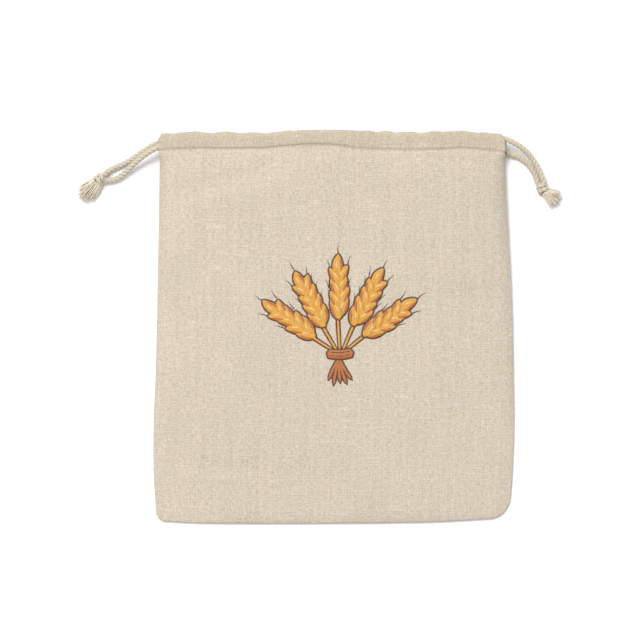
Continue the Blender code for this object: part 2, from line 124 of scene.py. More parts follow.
# Top edge of the front: x, y.
TOP_EDGE = (
    (-108.0, 119.3), (-93.0, 120.0), (-63.0, 119.8), (-41.0, 119.8), (-26.0, 120.8), (-18.0, 121.3),
    (4.0, 121.3), (19.0, 120.7), (34.0, 120.3), (49.0, 120.0), (64.0, 120.4), (78.0, 120.6),
    (93.0, 119.9), (101.0, 119.4), (106.0, 118.1),
)

# Small waves of the casings' folded edge: x, half width, height.
EDGE_WAVES = (
    (-99.0, 3.4, -0.4), (-84.6, 5.0, 0.5), (-76.0, 3.6, -0.5), (-66.3, 4.2, 0.6), (-56.5, 3.2, -0.4),
    (-49.5, 3.0, 0.2), (-42.0, 4.0, -0.5), (-28.0, 3.0, 0.3), (-24.0, 2.2, -0.3), (22.0, 3.4, 0.3),
    (26.2, 2.6, -0.6), (32.6, 3.0, 0.5), (38.2, 2.8, -0.6), (47.5, 4.0, 0.2), (54.2, 3.2, -0.6),
    (62.4, 3.2, 0.5), (67.0, 2.2, -0.4), (79.0, 4.4, 0.4), (88.6, 3.0, -0.5), (92.6, 2.4, 0.3),
    (97.5, 3.0, -0.3),
)
EDGE_WAVE_REACH = 7.6

# How much lower the stitch line runs than its usual depth: x, distance.
STITCH_WANDER = (
    (-108.0, 0.3), (-84.0, 0.0), (-50.0, -0.3), (-30.0, -0.9), (-14.0, -1.2), (2.0, -0.6), (14.0, 0.9),
    (42.0, 1.0), (66.0, 0.9), (84.0, 0.3), (96.0, 0.9), (106.0, 0.6),
)
WANDER_START = 8.2
OUTER_WANDER_START = 6.0

# Bottom edge: x, y.
BOTTOM_EDGE = (
    (-112.0, -119.6), (-75.0, -121.3), (0.0, -121.4), (60.0, -120.5), (90.0, -118.8), (112.0, -117.6),
)

# Side edges and the height of the back's edge there: y, left x, right x, left height, right height.
SIDE_EDGE = (
    (-122.0, -109.4, 108.8, 0.5, 0.5),
    (-107.0, -110.3, 109.4, 0.5, 0.6),
    (-89.0, -111.3, 110.7, 0.5, 0.8),
    (-58.0, -111.2, 111.7, 0.6, 1.2),
    (-27.0, -109.9, 111.1, 0.8, 1.9),
    (4.0, -109.2, 110.5, 1.1, 2.9),
    (35.0, -108.6, 109.2, 1.6, 3.9),
    (66.0, -108.0, 107.4, 2.6, 4.7),
    (95.0, -107.6, 106.0, 4.6, 5.4),
    (109.0, -107.4, 105.4, 5.8, 5.8),
    (122.0, -107.3, 105.2, 5.8, 5.8),
)

# Height of the front's cloth below its casing: y, in the middle, beside the side seams.
FRONT_HEIGHT = (
    (-122.0, 4.0, 2.9), (-95.0, 5.2, 3.6), (-60.0, 7.2, 4.8), (-20.0, 9.7, 6.2), (20.0, 12.3, 8.2),
    (50.0, 14.2, 9.9), (80.0, 16.4, 11.8), (107.0, 18.1, 13.5), (122.0, 18.1, 13.5),
)

# Soft folds of the front: from x, y, to x, y, half width, height (a trough is below zero).
FRONT_FOLDS = (
    (-95.0, 84.0, -22.0, 106.0, 6.5, -1.1),
    (-92.0, 70.0, -35.0, 88.0, 7.0, 0.7),
    (-104.0, 104.0, -78.0, 100.0, 4.5, -0.8),
    (45.0, 101.0, 98.0, 98.0, 5.0, -0.7),
    (-98.0, 2.0, -60.0, 8.0, 6.0, -0.5),
    (66.0, 22.0, 104.0, 16.0, 7.0, -0.6),
    (52.0, -68.0, 100.0, -40.0, 8.0, -0.6),
    (-92.0, -84.0, -46.0, -90.0, 5.0, -0.6),
    (-10.0, 40.0, 60.0, 50.0, 9.0, -0.5),
)

# Finer creases of the front, from handling: from x, y, to x, y, half width, height.
FRONT_CREASES = (
    (-73.5, 118.0, -72.0, 88.0, 2.6, -0.35),
    (-70.0, 112.0, -66.0, 96.0, 2.2, 0.3),
    (-15.0, 117.0, -14.0, 100.0, 2.4, -0.35),
    (-98.0, 88.0, -97.0, 54.0, 5.0, -0.5),
    (46.0, 104.6, 103.0, 99.4, 2.4, -0.45),
    (78.0, 44.0, 90.0, 40.0, 5.0, -0.45),
    (74.0, -3.0, 86.0, -6.0, 4.5, -0.4),
    (44.0, -73.0, 58.0, -78.0, 5.0, -0.4),
    (-80.0, -95.0, -42.0, -95.6, 1.8, 0.25),
    (60.0, 92.0, 84.0, 70.0, 3.0, -0.3),
    (72.0, 94.0, 96.0, 74.0, 3.0, -0.28),
    (84.0, 92.0, 101.0, 80.0, 2.6, 0.25),
    (-40.0, 70.0, 4.0, 66.0, 4.0, 0.3),
    (-58.0, 58.0, -66.0, 22.0, 4.0, 0.3),
    (12.0, 78.0, 44.0, 84.0, 4.0, -0.3),
    (-104.0, -30.0, -86.0, -34.0, 3.2, -0.3),
    (-100.0, -58.0, -70.0, -50.0, 4.5, 0.3),
    (-20.0, -62.0, 26.0, -58.0, 4.5, -0.3),
    (-36.0, -104.0, 20.0, -101.0, 3.4, 0.26),
    (70.0, -92.0, 102.0, -98.0, 3.4, 0.3),
    (92.0, 60.0, 104.0, 34.0, 3.6, -0.32),
)
FOLD_FADE = 0.1

# Puckers across the casings: x, half width, height.
CASING_PUCKERS = (
    (-88.0, 9.0, 0.5), (-69.0, 6.0, -0.5), (-48.0, 9.0, 0.4), (-16.0, 7.0, -0.5),
    (6.0, 9.0, 0.4), (36.0, 8.0, -0.4), (62.0, 9.0, 0.4), (88.0, 8.0, -0.3),
)

# Small puckers that the stitch line draws in the cloth beside it: height, reach, waves in radians per millimetre.
STITCH_PUCKER_HEIGHT = 0.14
STITCH_PUCKER_REACH = 6.0
STITCH_PUCKER_WAVES = (0.62, 0.37)

# Slight unevenness of the whole cloth: height and width.
UNEVEN_HEIGHT = 0.32
UNEVEN_WIDTH = 26.0

# Free cord ends, from the casing's slit to the knot, then through it: x, y, z.
LEFT_UPPER_ROUTE = (
    (-104.6, 113.6, 3.2), (-108.2, 113.6, 3.2), (-111.4, 112.6, 3.0),
    (-115.0, 110.5, 2.7), (-120.6, 106.7, 2.3),
    (-126.9, 102.5, 2.1), (-133.4, 99.4, 2.2), (-138.4, 97.0, 2.8), (-142.0, 94.1, 3.7), (-145.0, 91.4, 4.2),
)
LEFT_LOWER_ROUTE = (
    (-104.6, 112.0, 11.0), (-107.8, 110.8, 11.0), (-111.2, 109.3, 10.7),
    (-114.9, 107.1, 9.8), (-119.2, 104.1, 8.4),
    (-123.8, 100.3, 6.4), (-128.4, 96.0, 4.3), (-132.6, 92.5, 2.9), (-136.6, 90.8, 2.9), (-140.5, 90.6, 3.7),
    (-144.4, 90.0, 4.0),
)
RIGHT_UPPER_ROUTE = (
    (102.4, 116.5, 11.0), (105.8, 115.8, 11.3), (108.6, 114.6, 11.3),
    (111.8, 113.0, 10.9), (115.4, 110.9, 10.0),
    (119.0, 108.0, 8.8), (122.4, 104.2, 7.5), (125.5, 99.2, 6.4), (128.0, 94.4, 5.7), (129.7, 89.8, 5.3),
    (130.3, 86.4, 4.5),
)
RIGHT_LOWER_ROUTE = (
    (102.4, 109.0, 3.3), (105.6, 108.1, 3.3), (109.4, 106.9, 3.1), (114.6, 105.0, 2.7), (119.3, 101.8, 2.3),
    (122.6, 98.0, 2.1), (125.0, 93.4, 2.2), (126.7, 88.6, 2.8), (128.6, 85.8, 3.6),
)

# Free ends: piece, solid, side, whether it leaves the front casing, lane, route.
FREE_ENDS = (
    ("upper_left_cord", "left_cord_end_upper", "left", False, FIRST_LANE, LEFT_UPPER_ROUTE),
    ("lower_left_cord", "left_cord_end_lower", "left", True, SECOND_LANE, LEFT_LOWER_ROUTE),
    ("upper_right_cord", "right_cord_end_upper", "right", True, FIRST_LANE, RIGHT_UPPER_ROUTE),
    ("lower_right_cord", "right_cord_end_lower", "right", False, SECOND_LANE, RIGHT_LOWER_ROUTE),
)

# Cord inside the casings: piece, solid, start x, turn x, bow of its turn, lane in the front, lane in the back.
CASING_RUNS = (
    ("left_drawstring", "left_cord_in_casing", RUN_LEFT_END, TURN_RIGHT, 0.0, SECOND_LANE, FIRST_LANE),
    ("right_drawstring", "right_cord_in_casing", RUN_RIGHT_END, TURN_LEFT, LEFT_TURN_BOW, FIRST_LANE,
     SECOND_LANE),
)

# Knots: centre x, y, z, heading of the wraps and of the tuft in degrees from +X, distance to the
# strands' tips, tuft half width, tuft height, how early the tuft spreads, how much the middle is longer.
KNOTS = {
    "left": (-145.5, 90.5, 4.1, 214.0, 226.0, 15.0, 6.3, 7.4, 0.48, 0.26),
    "right": (129.8, 84.6, 4.0, 290.0, 322.0, 11.6, 6.5, 6.0, 1.1, 0.14),
}
WRAP_TURNS = 2.3
WRAP_RADIUS = 2.55
WRAP_CORD_RADIUS = 1.5
WRAP_PITCH = 2.7
WRAP_TILT = 0.9
WRAP_TILT_START = 0.6
WRAP_TUCK_SHARE = 0.35
WRAP_TUCK_RATE = 9
WRAP_FLATNESS = 0.94
WRAP_POINTS = 96
STRANDS = 84
STRAND_RADIUS = 0.42
STRAND_SIDES = 6
STRAND_POINTS = 9
STRAND_WAVE = 0.5
STRAND_WAVE_RATES = (5.2, 4.1)
STRAND_TAPER = 0.55
STRAND_UNEVENNESS = 0.25
GOLDEN_ANGLE = 2.39996

# Roots of a tuft's threads in its knot: distance ahead, half width, half height.
TUFT_ROOTS = (0.6, 2.2, 2.1)
# Tips of the threads: how uneven in length, width and height, share of the height at the bottom and per half.
TIP_UNEVENNESS = (0.13, 0.12, 0.5)
TIP_LEVELS = (0.06, 0.47)

# Stitches of the casings.
STITCH_STEP = 2.9
STITCH_LENGTH = 2.3
STITCH_RADIUS = 0.3
STITCH_SIDES = 6
STITCH_POINTS = 6
STITCH_ENDS = (-103.0, 101.5)
STITCH_WOBBLE = 0.12
STITCH_ARCH = 0.34
STITCH_SUNK = 0.16

# Thick places of single threads, raised on the cloth.
SLUB_COUNT = 22
SLUB_RADIUS = 0.16
SLUB_POINTS = 12
SLUB_SINK = 0.35
SLUB_TAPER = 0.7
# Where they lie: half width of the field, its lowest y, its length, and the even scatter over it.
SLUB_HALF_FIELD = 92.0
SLUB_LOWEST = -112.0
SLUB_FIELD_LENGTH = 214.0
SLUB_SCATTER = ((0.618034, 0.11), (0.754878, 0.37))
SLUB_HALF_LENGTH = (4.0, 9.0)

# Table, window light, sky and camera, in metres.
TABLE_SIZE = 4.0
WINDOW_PLACE = (-0.85, 1.5, 3.3)
WINDOW_SIZE = 1.4
WINDOW_COLOUR = (1.0, 0.985, 0.96)
SKY_COLOUR = (0.93, 0.955, 1.0, 1.0)
CAMERA_PLACE = (-8.4 * MM, 4.2 * MM)
CAMERA_REACH = 20.0
SENSOR_WIDTH = 36.0


def linear(hex_colour):
    """Linear RGBA of an sRGB hex colour."""
    channels = []
    for start in (1, 3, 5):
        value = int(hex_colour[start:start + 2], 16) / 255
        channels.append(value / 12.92 if value <= 0.04045 else ((value + 0.055) / 1.055) ** 2.4)
    return (*channels, 1.0)


class BreadBagCloth(bpy.types.PropertyGroup):
    """Sizes and colours of the linen."""

    thickness: FloatProperty(
        name="Thickness", description="Thickness of one ply of the cloth", default=0.7 * MM, unit="LENGTH")
    thread_spacing: FloatProperty(
        name="Thread spacing", description="From one thread to the next", default=0.95 * MM, unit="LENGTH")
    colour: FloatVectorProperty(
        name="Linen", description="Colour of most threads", default=linear("#CEC1AF"), size=4, subtype="COLOR")
    light_colour: FloatVectorProperty(
        name="Light threads", description="Colour of the palest threads", default=linear("#DCD1C0"), size=4,
        subtype="COLOR")
    dark_colour: FloatVectorProperty(
        name="Dark threads", description="Colour of the darkest threads", default=linear("#BBAB95"), size=4,
        subtype="COLOR")


class BreadBagCord(bpy.types.PropertyGroup):
    """Sizes and colours of the drawstrings."""

    radius: FloatProperty(
        name="Radius", description="Half of the cord's diameter", default=CORD_RADIUS * MM, unit="LENGTH")
    twist_length: FloatProperty(
        name="Twist length", description="Length of one turn of the three plies", default=8.4 * MM, unit="LENGTH")
    plies: IntProperty(name="Plies", description="Number of plies twisted together", default=3, min=2, max=5)
    colour: FloatVectorProperty(
        name="Cotton", description="Colour of the cord", default=linear("#D8CDBA"), size=4, subtype="COLOR")
    # Painted shade: the grooves' colour stands in for the shade deep between the plies.
    groove_shade_colour: FloatVectorProperty(
        name="Grooves", description="Colour deep between the plies", default=linear("#A2967D"), size=4,
        subtype="COLOR")


class BreadBagPrint(bpy.types.PropertyGroup):
    """Sizes and inks of the printed wheat sheaf."""

    line_width: FloatProperty(
        name="Line width", description="Width of the dark outline", default=1.0 * MM, unit="LENGTH")
    outline_colour: FloatVectorProperty(
        name="Outline", description="Dark ink", default=linear("#4E2511"), size=4, subtype="COLOR")
    grain_colour: FloatVectorProperty(
        name="Grain", description="Golden ink", default=linear("#D8982C"), size=4, subtype="COLOR")
    shade_colour: FloatVectorProperty(
        name="Shade", description="Orange-brown ink", default=linear("#B4621F"), size=4, subtype="COLOR")
    light_colour: FloatVectorProperty(
        name="Light", description="Pale yellow ink", default=linear("#E6C583"), size=4, subtype="COLOR")


class BreadBagStage(bpy.types.PropertyGroup):
    """Table, light and camera."""

    view_width: FloatProperty(
        name="View width", description="Width of the picture on the table", default=396.8 * MM, unit="LENGTH")
    camera_height: FloatProperty(
        name="Camera height", description="Height of the camera above the table", default=1.8, unit="LENGTH")
    table_colour: FloatVectorProperty(
        name="Table", description="Colour of the table", default=linear("#FFFFFF"), size=4, subtype="COLOR")
    sky_strength: FloatProperty(name="Sky", description="Strength of the even light", default=0.66)
    window_power: FloatProperty(name="Window", description="Power of the large window light", default=107.0)


def read_table(table, at, column):
    """Value of a column at a place, on a smooth curve through the table's rows."""
    rows = len(table)
    if at <= table[0][0]:
        return table[0][column]
    if at >= table[-1][0]:
        return table[-1][column]
    row = max(index for index in range(rows - 1) if table[index][0] <= at)

    def slope(index):
        before = max(index - 1, 0)
        after = min(index + 1, rows - 1)
        return (table[after][column] - table[before][column]) / (table[after][0] - table[before][0])

    start = table[row]
    end = table[row + 1]
    span = end[0] - start[0]
    part = (at - start[0]) / span
    square = part * part
    cube = square * part
    return (
        (2 * cube - 3 * square + 1) * start[column]
        + (cube - 2 * square + part) * span * slope(row)
        + (3 * square - 2 * cube) * end[column]
        + (cube - square) * span * slope(row + 1)
    )


def ease(part):
    """Smooth step from 0 to 1."""
    part = min(max(part, 0.0), 1.0)
    return part * part * (3 - 2 * part)


def half_width(y):
    """Half of the bag's width at a place along it."""
    return (read_table(SIDE_EDGE, y, 2) - read_table(SIDE_EDGE, y, 1)) / 2


def pucker(x):
    """Small puckers of the casings."""
    return sum(height * math.exp(-((x - place) / width) ** 2) for place, width, height in CASING_PUCKERS)


def mouth_gap(x):
    """Gap between the two casings, widest in the middle."""
    share = min(abs(x) / MOUTH_HALF_WIDTH, 1.0)
    return MOUTH_SIDE_GAP + (MOUTH_RISE + pucker(x)) * (1 - share ** MOUTH_POWER)


def front_channel_height(x):
    """Height of the middle of the front casing's channel."""
    return BACK_CHANNEL_HEIGHT + 2 * (WALL_REACH + CLOTH / 2) + mouth_gap(x)


def top_edge(x, front):
    """Top edge of a panel; the back's is a little lower."""
    edge = read_table(TOP_EDGE, x, 1)
    return edge if front else edge - BACK_CASING_DROP


def casing_y(x, depth, front, wander_start=WANDER_START):
    """Place along the bag of a point of a casing, with the waves of its fold and stitch line."""
    waves = sum(height * math.exp(-((x - place) / width) ** 2) for place, width, height in EDGE_WAVES)
    lowered = read_table(STITCH_WANDER, x, 1) * ease((depth - wander_start) / (STITCH_DEPTH - wander_start))
    return top_edge(x, front) - depth + waves * (1 - ease(depth / EDGE_WAVE_REACH)) - lowered


def folds(table, x, y):
    """Height that soft folds give the cloth at a place."""
    total = 0.0
    here = Vector((x, y))
    for x_start, y_start, x_end, y_end, width, height in table:
        start = Vector((x_start, y_start))
        along = Vector((x_end, y_end)) - start
        part = (here - start).dot(along) / along.length_squared
        nearest = min(max(part, 0.0), 1.0)
        beside = (here - start - along * nearest).length
        if beside < 3 * width:
            fade = math.sin(math.pi * (FOLD_FADE + (1 - 2 * FOLD_FADE) * nearest))
            total += height * fade * math.exp(-(beside / width) ** 2)
    return total


def unevenness(x, y, depth):
    """Slight lumps of the whole cloth and small puckers beside the stitch line."""
    lumps = UNEVEN_HEIGHT * noise.noise(Vector((x / UNEVEN_WIDTH, y / UNEVEN_WIDTH, 0.0)))
    beside = (depth - STITCH_DEPTH) / STITCH_PUCKER_REACH
    waves = sum(math.sin(rate * x + rate) for rate in STITCH_PUCKER_WAVES)
    return lumps + STITCH_PUCKER_HEIGHT * waves * math.exp(-beside * beside)


def stitch_dip(depth, dip):
    """How far the outer ply dips at the stitch line."""
    reach = STITCH_DEPTH - DIP_START
    beyond = (depth - STITCH_DEPTH) / reach
    return dip * (1 - ease(abs(beyond)) + STITCH_DIP_KEPT * ease(beyond))


def casing_section(dip):
    """Casing rows from the hem's raw edge, round the top fold and down: depth, height, hem share."""
    outer = WALL_REACH
    hem_under = CLOTH + PLY_GAP
    rows = []
    for step in range(HEM_STEPS + 1):
        depth = HEM_DEPTH + (STITCH_DEPTH - HEM_DEPTH) * step / HEM_STEPS
        rows.append((depth, outer - stitch_dip(depth, dip) - hem_under, 1.0))
    beside = STITCH_DEPTH - SECOND_LANE
    height = rows[-1][1]
    distance = math.hypot(beside, height)
    leave = math.atan2(height, -beside) % (2 * math.pi) + math.acos(WALL_REACH / distance)
    for step in range(HEM_ARC_STEPS + 1):
        angle = leave + (1.5 * math.pi - leave) * step / HEM_ARC_STEPS
        rows.append((SECOND_LANE - WALL_REACH * math.cos(angle), WALL_REACH * math.sin(angle), 1.0))
    rows.append(((FIRST_LANE + SECOND_LANE) / 2, -WALL_REACH, 1.0))
    for step in range(FOLD_ARC_STEPS + 1):
        angle = -math.pi / 2 + math.pi * step / FOLD_ARC_STEPS
        hem_share = 1 - step / FOLD_ARC_STEPS
        depth = FIRST_LANE - WALL_REACH * math.cos(angle)
        rows.append((depth, WALL_REACH * math.sin(angle), hem_share))
    rows.append(((FIRST_LANE + SECOND_LANE) / 2, outer, 0.0))
    rows.append((SECOND_LANE, outer, 0.0))
    for step in range(DIP_STEPS + 1):
        depth = DIP_START + (HEM_DEPTH - DIP_START) * step / DIP_STEPS
        rows.append((depth, outer - stitch_dip(depth, dip), 0.0))
    return rows


def round_corner(x, y, left, right, bottom):
    """Bring a point near a bottom corner inside its rounding."""
    for corner_x, inward, radius in ((left, 1, LEFT_CORNER_RADIUS), (right, -1, RIGHT_CORNER_RADIUS)):
        across = (corner_x + inward * radius - x) * inward / radius
        down = (bottom + radius - y) / radius
        if across > 0 and down > 0:
            shrink = max(across, down) / math.hypot(across, down)
            x = corner_x + inward * radius * (1 - across * shrink)
            y = bottom + radius * (1 - down * shrink)
    return x, y


def roll_height(reach):
    """Height of a rolled edge at a share of the way in, as a share of its full height."""
    steep = math.radians(ROLL_START)
    level = math.cos(steep) * (1 - min(reach, 1.0))
    return (math.sqrt(1 - level * level) - math.sin(steep)) / (1 - math.sin(steep))


def columns():
    """Columns across a panel: side, roll angle or share of the flat middle."""
    roll = [math.pi / 2 * (step / ROLL_STEPS) ** ROLL_BUNCHING for step in range(ROLL_STEPS)]
    middle_count = round(2 * (half_width(0) - SIDE_ROLL) / COLUMN_SPACING)
    places = [("left", angle) for angle in roll]
    places += [("middle", step / middle_count) for step in range(middle_count + 1)]
    places += [("right", angle) for angle in reversed(roll)]
    return places


def column_place(column, left, right, inset):
    """x of a column, and how much of the plateau's height it has."""
    side, value = column
    if side == "middle":
        return left + SIDE_ROLL + value * (right - left - 2 * SIDE_ROLL), 1.0
    share = 1 - math.cos(value)
    reach = inset + (SIDE_ROLL - inset) * share
    return (left + reach if side == "left" else right - reach), roll_height(share)


def body_rows(start):
    """Rows of a panel below its casing: y share of the flat stretch, then the bottom's roll angles."""
    count = round((start - BAG_BOTTOM - BOTTOM_ROLL) / ROW_SPACING)
    rows = [("flat", step / count) for step in range(1, count + 1)]
    for step in range(ROLL_STEPS - 1, -1, -1):
        rows.append(("roll", math.pi / 2 * (step / ROLL_STEPS) ** ROLL_BUNCHING))
    return rows


def front_height(x, y, raised, roll_share, left, right):
    """Height of the front's cloth at a place, with its sides rolled down to the seam."""
    slit = 1 - ease((y - SLIT_END) / (SLIT_TOP - SLIT_END))
    across = (x - left) / (right - left)
    left_end = read_table(SIDE_EDGE, y, 3) + FRONT_SEAM_STAND
    right_end = read_table(SIDE_EDGE, y, 4) + FRONT_SEAM_STAND
    seam = left_end + (right_end - left_end) * across
    plateau = 1 - slit * (1 - roll_share)
    return seam + (raised - seam) * plateau


def front_plateau(x, y):
    """Height of the front's cloth away from its seams, below the casing."""
    middle = read_table(FRONT_HEIGHT, y, 1)
    side = read_table(FRONT_HEIGHT, y, 2)
    share = min(abs(x) / half_width(y), 1.0)
    return side + (middle - side) * (1 - share ** MOUTH_POWER) + folds(FRONT_FOLDS, x, y)


def front_points():
    """Rows of points of the front cloth, its casing first."""
    inset = CLOTH / 2
    across = columns()
    section = casing_section(STITCH_DIP)
    rows = []
    for depth, height, hem_share in section:
        row = []
        for column in across:
            guess_y = TOP_EDGE[0][1] - depth
            left = read_table(SIDE_EDGE, guess_y, 1)
            right = read_table(SIDE_EDGE, guess_y, 2)
            hem = HEM_INSET * hem_share
            x, roll_share = column_place(column, left + hem, right - hem, inset)
            y = casing_y(x, depth, True, WANDER_START if hem_share else OUTER_WANDER_START)
            raised = front_channel_height(x) + height
            if hem_share > 0 and column[0] != "middle":
                edge = min(x - left, right - x)
                roll_share = roll_height(edge / SIDE_ROLL)
            raised += (folds(FRONT_CREASES, x, y) + unevenness(x, y, depth)) * (1 - hem_share)
            row.append((x, y, front_height(x, y, raised, roll_share, left, right)))
        rows.append(row)
    for kind, value in body_rows(TOP_EDGE[0][1] - HEM_DEPTH):
        row = []
        for column in across:
            flat = value if kind == "flat" else 1.0
            guess_x, _ = column_place(column, MOUTH_LEFT, MOUTH_RIGHT, inset)
            bottom = read_table(BOTTOM_EDGE, guess_x, 1)
            start = casing_y(guess_x, HEM_DEPTH, True)
            y = start + flat * (bottom + BOTTOM_ROLL - start)
            end_share = 1.0
            lift = 0.0
            if kind == "roll":
                y = bottom + inset + (BOTTOM_ROLL - inset) * (1 - math.cos(value))
                end_share = roll_height(1 - math.cos(value))
                lift = BOTTOM_LIFT * math.cos(value) ** 2
            left = read_table(SIDE_EDGE, y, 1)
            right = read_table(SIDE_EDGE, y, 2)
            x, roll_share = column_place(column, left, right, inset)
            settle = ease((start - y) / (11 * ROW_SPACING))
            casing_height = front_channel_height(x) + section[-1][1]
            plateau = casing_height + (front_plateau(x, y) - casing_height) * settle
            plateau += folds(FRONT_CREASES, x, y) + unevenness(x, y, top_edge(x, True) - y)
            z = front_height(x, y, plateau, roll_share * end_share, left, right) + lift
            x, y = round_corner(x, y, left + inset, right - inset, bottom + inset)
            row.append((x, y, z))
        rows.append(row)
    return rows


def back_height(x, y, height, left, right):
    """Height of the back's cloth: flat on the table, its edges raised to the side seams."""
    slit = 1 - ease((y - SLIT_END) / (BACK_SLIT_TOP - SLIT_END))
    rise = 0.0
    for edge, column in ((x - left, 3), (right - x, 4)):
        share = 1 - min(edge / BACK_EDGE_RISE_WIDTH, 1.0)
        rise += (read_table(SIDE_EDGE, y, column) - CLOTH / 2) * share * share
    return height + rise * slit


def back_points():
    """Rows of points of the back cloth, its casing first."""
    inset = CLOTH / 2
    across = columns()
    rows = []
    for depth, height, hem_share in casing_section(0.0):
        row = []
        for column in across:
            guess_y = TOP_EDGE[0][1] - BACK_CASING_DROP - depth
            left = read_table(SIDE_EDGE, guess_y, 1)
            right = read_table(SIDE_EDGE, guess_y, 2)
            hem = HEM_INSET * hem_share
            x, _ = column_place(column, left + hem, right - hem, inset)
            y = casing_y(x, depth, False)
            row.append((x, y, back_height(x, y, BACK_CHANNEL_HEIGHT - height, left, right)))
        rows.append(row)
    for kind, value in body_rows(TOP_EDGE[0][1] - BACK_CASING_DROP - HEM_DEPTH):
        row = []
        for column in across:
            flat = value if kind == "flat" else 1.0
            guess_x, _ = column_place(column, MOUTH_LEFT, MOUTH_RIGHT, inset)
            bottom = read_table(BOTTOM_EDGE, guess_x, 1)
            start = casing_y(guess_x, HEM_DEPTH, False)
            y = start + flat * (bottom + BOTTOM_ROLL - start)
            lift = 0.0
            if kind == "roll":
                y = bottom + inset + (BOTTOM_ROLL - inset) * (1 - math.cos(value))
                lift = BOTTOM_LIFT * math.cos(value) ** 2
            left = read_table(SIDE_EDGE, y, 1)
            right = read_table(SIDE_EDGE, y, 2)
            x, _ = column_place(column, left, right, inset)
            z = back_height(x, y, CLOTH / 2, left, right) + lift
            x, y = round_corner(x, y, left + inset, right - inset, bottom + inset)
            row.append((x, y, z))
        rows.append(row)
    return rows


def flat_places(rows):
    """Where each point lies on the flat cut of cloth: lengths along its row and down the middle."""
    middle = len(rows[0]) // 2
    down = [0.0]
    for above, below in zip(rows, rows[1:]):
        down.append(down[-1] + (Vector(below[middle]) - Vector(above[middle])).length)
    places = []
    for row, length in zip(rows, down):
        along = [0.0]
        for start, end in zip(row, row[1:]):
            along.append(along[-1] + (Vector(end) - Vector(start)).length)
        places += [Vector((reach - along[middle], -length)) for reach in along]
    return places


def turn_in_edges(sheet, edges, flat, deeper):
    """Turn the cloth's cut edges in: round a small fold on the wrong side, then back along the cloth."""
    sheet.normal_update()
    beside = {}
    for edge in edges:
        for vertex in edge.verts:
            beside.setdefault(vertex, []).append(edge.other_vert(vertex))
    folding = {}
    for vertex, others in beside.items():
        tangent = (others[-1].co - (others[0].co if len(others) == 2 else vertex.co)).normalized()
        inside = deeper[vertex]
        inward = inside.co - vertex.co
        inward = (inward - tangent * inward.dot(tangent)).normalized()
        wrong = inward.cross(tangent).normalized()
        if wrong.dot(vertex.normal) > 0:
            wrong = -wrong
        flat_inward = (flat[inside] - flat[vertex]).normalized()
        folding[vertex] = (vertex.co.copy(), inward, wrong, flat[vertex], flat_inward)
    ring = edges
    radius = EDGE_TURN_RADIUS * MM
    for step in range(1, EDGE_TURN_STEPS + 2):
        made = bmesh.ops.extrude_edge_only(sheet, edges=ring)["geom"]
        ring = [part for part in made if isinstance(part, bmesh.types.BMEdge)]
        moved = {}
        for vertex in made:
            if isinstance(vertex, bmesh.types.BMVert):
                source = next(
                    edge.other_vert(vertex) for edge in vertex.link_edges if edge.other_vert(vertex) in folding)
                moved[vertex] = folding[source]
        for vertex, (base, inward, wrong, flat_base, flat_inward) in moved.items():
            angle = math.pi * min(step, EDGE_TURN_STEPS) / EDGE_TURN_STEPS
            tuck = EDGE_TUCK * MM if step > EDGE_TURN_STEPS else 0.0
            vertex.co = base - inward * (radius * math.sin(angle) - tuck) + wrong * radius * (1 - math.cos(angle))
            flat[vertex] = flat_base - flat_inward * (radius * angle + tuck)
        folding = moved


def cloth_sheet(name, points, faces_up, material):
    """One ply of linen: a grid laid on rows of points, its cut edges turned in, then thickened."""
    cloth = bpy.context.scene.bread_bag_cloth
    sheet = bmesh.new()
    across = len(points[0])
    bmesh.ops.create_grid(sheet, x_segments=across - 1, y_segments=len(points) - 1, size=1)
    sheet.verts.ensure_lookup_table()
    places = [place for row in points for place in row]
    flat = {}
    for vertex, place, flat_place in zip(sheet.verts, places, flat_places(points)):
        vertex.co = Vector(place) * MM
        flat[vertex] = flat_place * MM
    hem_edge = set(sheet.verts[:across])
    bmesh.ops.recalc_face_normals(sheet, faces=sheet.faces)
    sheet.faces.ensure_lookup_table()
    sheet.normal_update()
    if (sheet.faces[-across * len(points) // 2].normal.z > 0) != faces_up:
        bmesh.ops.reverse_faces(sheet, faces=sheet.faces)
    deeper = {}
    for index, vertex in enumerate(sheet.verts):
        row, column = divmod(index, across)
        row = min(row, len(points) - 1 - EDGE_BASE_STEPS)
        column = min(max(column, EDGE_BASE_STEPS), across - 1 - EDGE_BASE_STEPS)
        deeper[vertex] = sheet.verts[row * across + column]
    cut = [edge for edge in sheet.edges if edge.is_boundary and not hem_edge.issuperset(edge.verts)]
    turn_in_edges(sheet, cut, flat, deeper)
    uv = sheet.loops.layers.uv.new("UVMap")
    for face in sheet.faces:
        for loop in face.loops:
            loop[uv].uv = flat[loop.vert]
    piece = finish_mesh(name, sheet, material)
    solidify = piece.modifiers.new("cloth thickness", "SOLIDIFY")
    solidify.thickness = cloth.thickness
    solidify.offset = 0.0
    solidify.use_rim = True
    return piece


def finish_mesh(name, shape, material):
    """Object of a finished bmesh, smooth shaded, riding on the bag."""
    mesh = bpy.data.meshes.new(name)
    shape.to_mesh(mesh)
    shape.free()
    mesh.shade_smooth()
    mesh.materials.append(material)
    piece = bpy.data.objects.new(name, mesh)
    bpy.context.scene.collection.objects.link(piece)
    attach(piece, BODY)
    return piece


def flat_size(points):
    """Width and length of the flat cut, with its turned edges, in metres."""
    places = flat_places(points)
    turned = math.pi * EDGE_TURN_RADIUS + EDGE_TUCK
    width = max(place.x for place in places) - min(place.x for place in places) + 2 * turned
    length = max(place.y for place in places) - min(place.y for place in places) + turned
    return width * MM, length * MM


